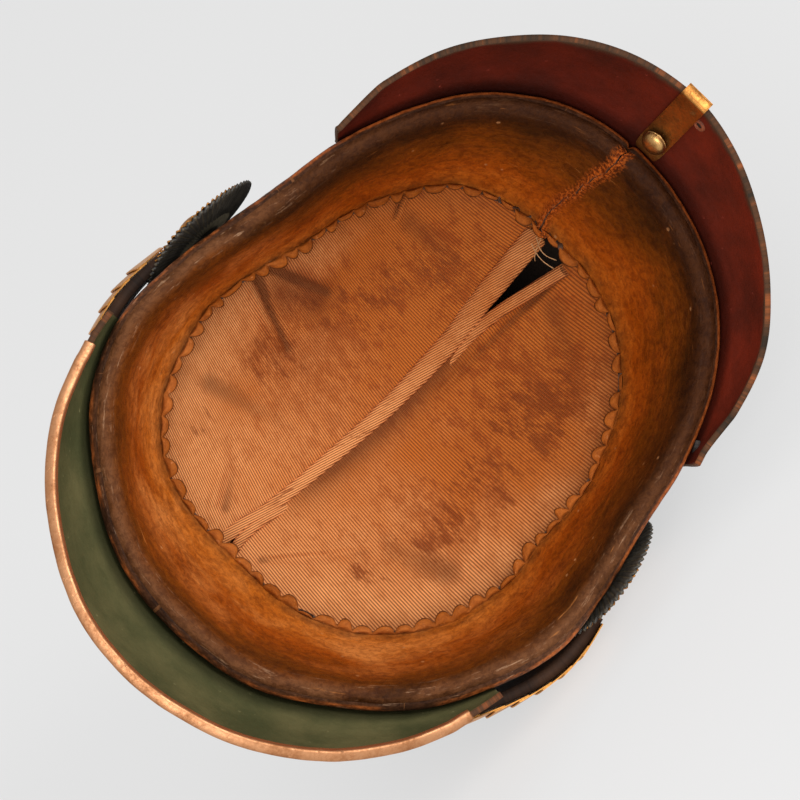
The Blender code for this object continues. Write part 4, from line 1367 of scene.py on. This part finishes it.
def addSpike():
    q = spikeSet
    bm = sheet(96, 48, basePoint, (0.2, 0.06), around=True)
    faceTo(bm, (0, helmet["centreY"], 0.12), away=True)
    ob = finishPiece(bm, "spikeBase", [brass], ["spike_base"], 50)
    wall = giveWall(ob, q["baseWall"])
    wall.offset = 1
    foot = helmet["shellHeight"] + q["neckHeight"] + 0.0012 + q["baseWall"] + helmet["gap"]
    ring = q["radius"] + q["bead"]
    profile = [(q["tip"] * out, q["height"] - q["tip"] * down) for out, down in ((0, 0), (0.6, 0.12), (1, 0.5))]
    for k in range(1, 25):
        share = k / 24
        radius = q["tip"] + (q["radius"] - q["tip"]) * share ** 0.92
        profile.append((radius, q["height"] - (q["height"] - 2 * q["bead"]) * share))
    for k in range(9):
        a = math.pi * (0.5 - k / 8) * 0.96
        profile.append((ring - q["bead"] + q["bead"] * math.cos(a), q["bead"] * 0.98 * (1 + math.sin(a))))
    profile += [(ring * 0.75, 0.0), (0.0, 0.0)]
    bm = turned(profile, 64)
    bmesh.ops.translate(bm, vec=(0, helmet["centreY"], foot), verts=bm.verts)
    finishPiece(bm, "spike", [brass], ["spike"], 35)
    for i in range(4):
        angle = 45.0 + 90.0 * i
        inner = planPoint(angle, q["studCircle"] - 0.003, shellTopAt(angle, q["studCircle"] - 0.003))
        outer = planPoint(angle, q["studCircle"] + 0.003, shellTopAt(angle, q["studCircle"] + 0.003))
        across = planPoint(angle + 90.0, 1.0, 0.0) - planPoint(0, 0, 0)
        normal = (outer - inner).normalized().cross(across).normalized()
        if normal.z < 0:
            normal = -normal
        middle = planPoint(angle, q["studCircle"], shellTopAt(angle, q["studCircle"]))
        bm = turned(dome(q["studRadius"] * 0.96, q["studHeight"], 0.0006), 36)
        standOn(bm, middle + normal * (q["baseWall"] + helmet["gap"] * 6), normal)
        finishPiece(bm, "baseStud%d" % (i + 1), [brass], ["base_stud_%d" % (i + 1)], 50)


addSpike()
print("spike done")


# Cockades and the bosses that hold the chin scales

cockade = {
    "back": (-.0015, .0095),
    "standOff": (.0008, .0012),
    "yaw": (3.0, 9.0),
    "tilt": (5.0, 10.0),
    "pressed": (.0027, .0018),
    "radius": 0.0240,
    "wall": 0.0010,
    "dish": 0.0026,
    "pleats": 56,
    "pleatDepth": 0.00030,
    "height": 0.0250,
    "lacquer": (0.019, 0.016, 0.012),
    "ring": (0.120, 0.100, 0.065),
    "rubbed": (0.130, 0.095, 0.050),
}
# radius and height of the boss, from its top down the outside
bossProfile = [(0.0, .0064), (.0018, .0063), (.0036, .0058), (.0050, .0050), (.0057, .0041), (.0061, .0035),
               (.0070, .0030), (.0088, .0026), (.0090, .0018), (.0088, .0010), (.0040, .0004), (0.0, .0004)]


def fittingFrame(row):
    side = 1 if row == 0 else -1
    y, z = cockade["back"][row], cockade["height"]
    x = side * wallRadius(side * 90.0, z)
    for _ in range(4):                      # a few rounds find the wall beside that place
        angle = angleAt(x, y)
        seat = planPoint(angle, wallRadius(angle, z), z)
        x = seat.x
    yaw = math.radians(cockade["yaw"][row]) * side
    tilt = math.radians(cockade["tilt"][row])
    normal = Vector((side * math.cos(yaw) * math.cos(tilt), abs(math.sin(yaw)) * math.cos(tilt), math.sin(tilt)))
    return seat + normal * (cockade["standOff"][row] + helmet["gap"]), normal


def cockadeLook():
    look = Look("fluteLacquer", roughness=0.45)
    place, uv = look.place(), look.uv()
    share = look.part(uv, 1)
    wide = look.noise(place, 0.006, 4)
    fine = look.noise(place, 0.0011, 4, 0.65)
    ring = look.ease((share - 0.62).size(), 0.13, 0.10)
    look.colour = look.blend(look.ease(wide, 0.35, 0.7), cockade["lacquer"], tuple(c * 2.2 for c in cockade["lacquer"]))
    look.lay(ring * look.ease(fine + wide, 0.6, 0.9), cockade["ring"])
    rub = look.ease(look.mark("ridge") + (fine - 0.5), 0.75, 1.05)
    look.lay(rub * 0.55, cockade["rubbed"])
    look.put(colour=look.colour, roughness=look.ease(fine, 0.3, 0.7, 0.35, 0.6), height=fine * 0.0002)
    return look


def addCockades():
    black = cockadeLook()
    for row, name in enumerate(("left", "right")):
        point, normal = fittingFrame(row)
        turn = normal.to_track_quat("Z", "Y").to_matrix()
        for layer, (reach, lift, look, title) in enumerate((
                (1.0, 0.0, black, "Cockade"), (0.86, 0.0024, darkBrass, "InnerCockade"))):
            def discPoint(s, t):
                a = 2 * math.pi * s
                share = 1 - t
                pleat = math.cos(a * cockade["pleats"])
                radius = cockade["radius"] * reach * share * (1 - 0.022 * (1 - pleat) * smooth((share - 0.8) / 0.2))
                z = cockade["dish"] * (share * reach) ** 2 + lift * (0.4 + 0.6 * share * share)
                z += cockade["pleatDepth"] * pleat * smooth(share / 0.45)
                flat = point + turn @ Vector((radius * math.cos(a), radius * math.sin(a), 0))
                ahead = max((point.y - flat.y) / cockade["radius"], 0.0)
                return flat + normal * (z - cockade["pressed"][row] * ahead ** 3)
            bm = sheet(cockade["pleats"] * 6, 16, discPoint, (1.0, 1.0), around=True)
            ridge = bm.verts.layers.float.new("ridge")
            for v in bm.verts:
                local = turn.inverted() @ (v.co - point)
                a = math.atan2(local.y, local.x)
                v[ridge] = 0.5 + 0.5 * math.cos(a * cockade["pleats"])
            faceTo(bm, point + normal)
            node = ["cockade_" + name] if layer == 0 else []
            ob = finishPiece(bm, name + title, [look], node, 70)
            wall = giveWall(ob, cockade["wall"] * (0.8 if layer == 0 else 0.5))
            wall.offset = 1 if layer == 0 else 0
        foot = cockade["wall"] + helmet["gap"] * 2 + 0.0003
        bm = turned(roundProfile(bossProfile, 3), 48)
        standOn(bm, point + normal * foot, normal)
        finishPiece(bm, name + "Boss", [darkBrass], ["boss_" + name], 45)


addCockades()
print("cockades done")


# Chin strap, its brass scales and clasp

strap = {
    "width": 0.0180,
    "wall": 0.0014,
    "backing": 0.0022,                      # its soft inner side, towards the shell
    "standOff": 0.0050,
    "scales": 17,
    "rise": 0.0020,
    "plate": 0.0004,
    "claspLength": 0.0170,
    "claspWidth": 0.0150,
    "claspDepth": 0.0030,
    "leather": ((0.012, 0.007, 0.005), (0.050, 0.022, 0.011)),
}
strap["inside"] = (0, helmet["centreY"], 0.02)
strapRoute = {
    "along": (0, .14, .28, .42, .58, .78, 1.0),
    "outwardLeft": (1.06, 1.02, .72, .63, .62, .62, .62),
    "outwardRight": (1.06, 1.34, 1.26, .98, .66, .62, .62),
    "height": (1.0, .97, .90, .84, .80, .78, .78),
    "width": (1.0, 1.0, .96, .90, .84, .78, .74),
}


def strapFace(side, along, outward):
    boss, _ = fittingFrame(0 if side > 0 else 1)
    start = abs(angleAt(boss.x, boss.y)) - math.degrees(0.0102 / abs(boss.x))
    angle = side * start * (1 - along)
    off = strap["standOff"] * rowShare(strapRoute, "outwardLeft" if side > 0 else "outwardRight", along) + outward
    middle = cockade["height"] * rowShare(strapRoute, "height", along)
    half = strap["width"] * rowShare(strapRoute, "width", along) / 2
    return [planPoint(angle, wallRadius(angle, middle + k * half) + off, middle + k * half) for k in (-1, 1)]


def strapPoint(s, t):
    side, along = (1, 2 * s) if s < 0.5 else (-1, 2 - 2 * s)
    low, high = strapFace(side, along, -strap["backing"])
    return low.lerp(high, t)


def strapLook():
    look = Look("strapLeather", roughness=0.7, specular=0.15)
    place = look.place()
    wide = look.noise(place, 0.015, 4)
    fine = look.noise(place, 0.0012, 5, 0.65)
    look.colour = look.ramp(wide + (fine - 0.5) * 0.4, zip((0.3, 0.7), strap["leather"]))
    look.put(colour=look.colour, height=fine * 0.0003 + wide * 0.0004)
    return look


def addStrap():
    bm = sheet(180, 6, strapPoint, (0.3, strap["width"]))
    faceTo(bm, strap["inside"])
    ob = finishPiece(bm, "chinStrap", [strapLook()], ["chin_strap"], 50)
    giveWall(ob, strap["wall"] + strap["backing"])


def addScales():
    last = 1 - math.degrees((strap["claspLength"] / 2 + 0.0008) / helmet["halfLength"]) / 85.0
    for side, name in ((1, "left"), (-1, "right")):
        whole = newMesh()
        for i in range(strap["scales"]):
            start, end = last * i / strap["scales"], last * (i + 1.7) / strap["scales"]
            end = min(end, last)

            def platePoint(s, t):
                # s runs to the free end, which stands off over the next plate
                u = 2 * t - 1
                reach = s * (1 - 0.16 * u * u * s)
                low, high = strapFace(side, start + (end - start) * reach, strap["wall"] + helmet["gap"] * 2)
                _, topOut = strapFace(side, start + (end - start) * reach, strap["wall"] + helmet["gap"] * 2 + 0.001)
                out = (topOut - high).normalized()
                bulge = (1 - u * u) * (0.55 + 0.45 * s)
                lift = 0.00030 + strap["rise"] * bulge + 0.00060 * s ** 1.5
                return low.lerp(high, t) + out * lift
            bm = sheet(9, 12, platePoint, (0.009, strap["width"]))
            faceTo(bm, strap["inside"], away=True)
            bmesh.ops.solidify(bm, geom=bm.faces[:], thickness=strap["plate"])
            join(whole, bm)
        finishPiece(whole, name + "ChinScales", [scaleBrass], ["chin_scales_" + name], 35)


addStrap()
addScales()
print("chin scales done")


def addClasp():
    low, high = strapFace(1, 1.0, strap["wall"] + helmet["gap"])
    tilt = math.atan2(high.y - low.y, high.z - low.z)
    stand = strap["claspDepth"] / 2 + strap["plate"]
    middle = (low + high) / 2 + Vector((0, -math.cos(tilt), math.sin(tilt))) * stand
    bm = newMesh()
    bmesh.ops.create_cube(bm, size=1.0)
    bmesh.ops.scale(bm, vec=(strap["claspLength"], strap["claspDepth"], strap["claspWidth"]), verts=bm.verts)
    front = [f for f in bm.faces if f.normal.y < -0.9]
    bmesh.ops.inset_region(bm, faces=front, thickness=0.0016, depth=0.0)
    bmesh.ops.inset_region(bm, faces=front, thickness=0.0004, depth=-0.0006)
    edges = [e for e in bm.edges if e.calc_length() > 0.0025]
    soften(bm, edges, 0.0003)
    moveAll(bm, Matrix.Translation(middle) @ Matrix.Rotation(-tilt, 4, "X"))
    finishPiece(bm, "chinClasp", [brass], ["chin_clasp"], 35)


addClasp()


# Small things: the ringed hole, the rear peak's black tab, loose threads and seam fibres

small = {
    "eyelet": ((0.10, 0.022, 0.008), (0.30, 0.070, 0.020)),
    "hole": ((0.004, 0.003, 0.002), (0.010, 0.006, 0.004)),
    "tab": ((0.010, 0.008, 0.007), (0.035, 0.022, 0.015)),
    "fibre": ((0.22, 0.050, 0.010), (0.55, 0.170, 0.045)),
    "thread": ((0.34, 0.16, 0.06), (0.62, 0.34, 0.15)),
    "fibres": 30,
}
# radius and height, round the ring and down into its hole
eyeletRing = [(.0011, .0002), (.0012, .0006), (.0017, .0008), (.0022, .0006), (.0024, .0001),
              (.0017, -.0002), (.0011, .0002)]
eyeletHole = [(0.0, .0002), (.0006, .00022), (.0012, .0001), (.0012, -.0004), (0.0, -.0004)]
# each loose thread's ends, and how far it sags between them
threads = (
    ((.0062, .0800, .0505), (-.0040, .0790, .0500), .0020),
    ((.0058, .0775, .0520), (-.0052, .0765, .0510), .0012),
    ((.0050, .0815, .0500), (.0010, .0745, .0540), .0015),
)


def surfaceUnder(which, x, y):
    # where the plan point lies on a peak's underside, and the way out of it
    best = None
    for i in range(121):
        for k in range(31):
            p = peakPoint(which, i / 120, 0.35 + 0.65 * k / 30)
            gap = math.hypot(p.x - x, p.y - y)
            if best is None or gap < best[0]:
                best = (gap, i / 120, 0.35 + 0.65 * k / 30, p)
    _, s, t, p = best
    along = peakPoint(which, min(s + 0.01, 1), t) - peakPoint(which, s - 0.01, t)
    down = peakPoint(which, s, min(t + 0.02, 1)) - peakPoint(which, s, t - 0.02)
    normal = along.cross(down).normalized()
    return p, -normal if normal.z > 0 else normal


def addEyelet():
    p, normal = surfaceUnder("rear", -0.0070, 0.1290)
    for name, profile, steps, look in (
            ("peakEyelet", eyeletRing, 32, plainLook("eyeletLeather", small["eyelet"])),
            ("eyeletHole", eyeletHole, 24, plainLook("eyeletDark", small["hole"]))):
        bm = turned(profile, steps)
        standOn(bm, p, normal)
        finishPiece(bm, name, [look], ())


def addTab():
    bm = newMesh()
    bmesh.ops.create_cube(bm, size=1.0)
    bmesh.ops.scale(bm, vec=(0.0018, 0.0060, 0.0060), verts=bm.verts)
    tip = [v for v in bm.verts if v.co.y > 0 and v.co.z < 0]
    bmesh.ops.translate(bm, vec=(0, -0.0035, 0.001), verts=tip)
    soften(bm, bm.edges[:], 0.0004)
    angle = angleAt(-0.0802, 0.0597)
    point = planPoint(angle, rimEdge(angle) + 0.0012, rimLine(angle) + 0.0045)
    moveAll(bm, Matrix.Translation(point) @ Matrix.Rotation(math.radians(angle - 90), 4, "Z"))
    finishPiece(bm, "peakEndTab", [plainLook("tabLeather", small["tab"])], ())


def addFibres():
    whole = newMesh()
    for i in range(small["fibres"]):
        t = 0.10 + 0.86 * ((i * 0.618) % 1.0)
        side = 1 if i % 2 else -1
        start = bandPoint(0.0008 if side > 0 else 0.9992, 0.14 + 0.8 * t) + Vector((0, -0.0004, 0))
        a = 6.28 * ((i * 0.37) % 1.0)
        reach = 0.0005 + 0.0009 * ((i * 0.73) % 1.0)
        way = Vector((math.cos(a) * reach, -0.0006 + 0.5 * reach * math.cos(a * 1.7), -reach * math.sin(a)))
        curl = Vector((-way.z, 0, way.x)) * 0.35
        join(whole, tube([start, start + way * 0.5 + curl * 0.5, start + way + curl], 0.00012, 4, 0.7))
    finishPiece(whole, "seamFibres", [plainLook("fibreLeather", small["fibre"], 0.002)], ())


def addThreads():
    whole = newMesh()
    for a, b, sag in threads:
        a, b = Vector(a), Vector(b)
        points = []
        for k in range(11):
            low = sag * math.sin(math.pi * k / 10)
            points.append(a.lerp(b, k / 10) + Vector((0, -low, -0.4 * low)))
        join(whole, tube(points, 0.00016, 6))
    finishPiece(whole, "looseThreads", [plainLook("threadFlax", small["thread"])], ())


addEyelet()
addTab()
addFibres()
addThreads()
print("small pieces done")


# Floor and light

studio = {
    "floor": (0.26, 0.26, 0.26),
    "glow": 0.565,                           # the floor is lit from behind, like a light table
    "world": 0.62,
    "key": 27.0,                             # watts
    "fill": 18.0,
    "lightSize": 1.0,
    "target": (0, 0, 0.08),
}


def addStage():
    bm = bmesh.new()
    bmesh.ops.create_grid(bm, x_segments=2, y_segments=2, size=6.0)
    mesh = bpy.data.meshes.new("floor")
    bm.to_mesh(mesh)
    bm.free()
    floor = newObject("floor", mesh)
    look = Look("paleFloor", roughness=0.9, specular=0.0)
    look.shader.inputs["Emission Color"].default_value = (1.0, 1.0, 1.0, 1.0)
    look.shader.inputs["Emission Strength"].default_value = studio["glow"]
    where = look.node("ShaderNodeTexCoord", None, None, 3)
    tone = look.noise(where, 0.5, 2)
    look.put(colour=look.blend(look.ease(tone, 0.2, 0.8), studio["floor"], tuple(c * 0.995 for c in studio["floor"])))
    mesh.materials.append(look.material)


def addLight(name, at):
    data = bpy.data.lights.new(name, "AREA")
    data.size = studio["lightSize"]
    data.energy = studio[name]
    ob = newObject(name, data)
    ob.location = at
    ob.rotation_euler = (Vector(studio["target"]) - Vector(at)).to_track_quat("-Z", "Y").to_euler()


addStage()
world = bpy.data.worlds.new("studio")
bpy.context.scene.world = world
world.use_nodes = True
world.node_tree.nodes["Background"].inputs["Color"].default_value = (1.0, 1.0, 1.0, 1.0)
world.node_tree.nodes["Background"].inputs["Strength"].default_value = studio["world"]
addLight("key", (1.4, -1.5, 0.9))
addLight("fill", (-0.7, -1.6, 0.8))
bpy.context.scene.view_settings.view_transform = "Standard"
print("stage done")
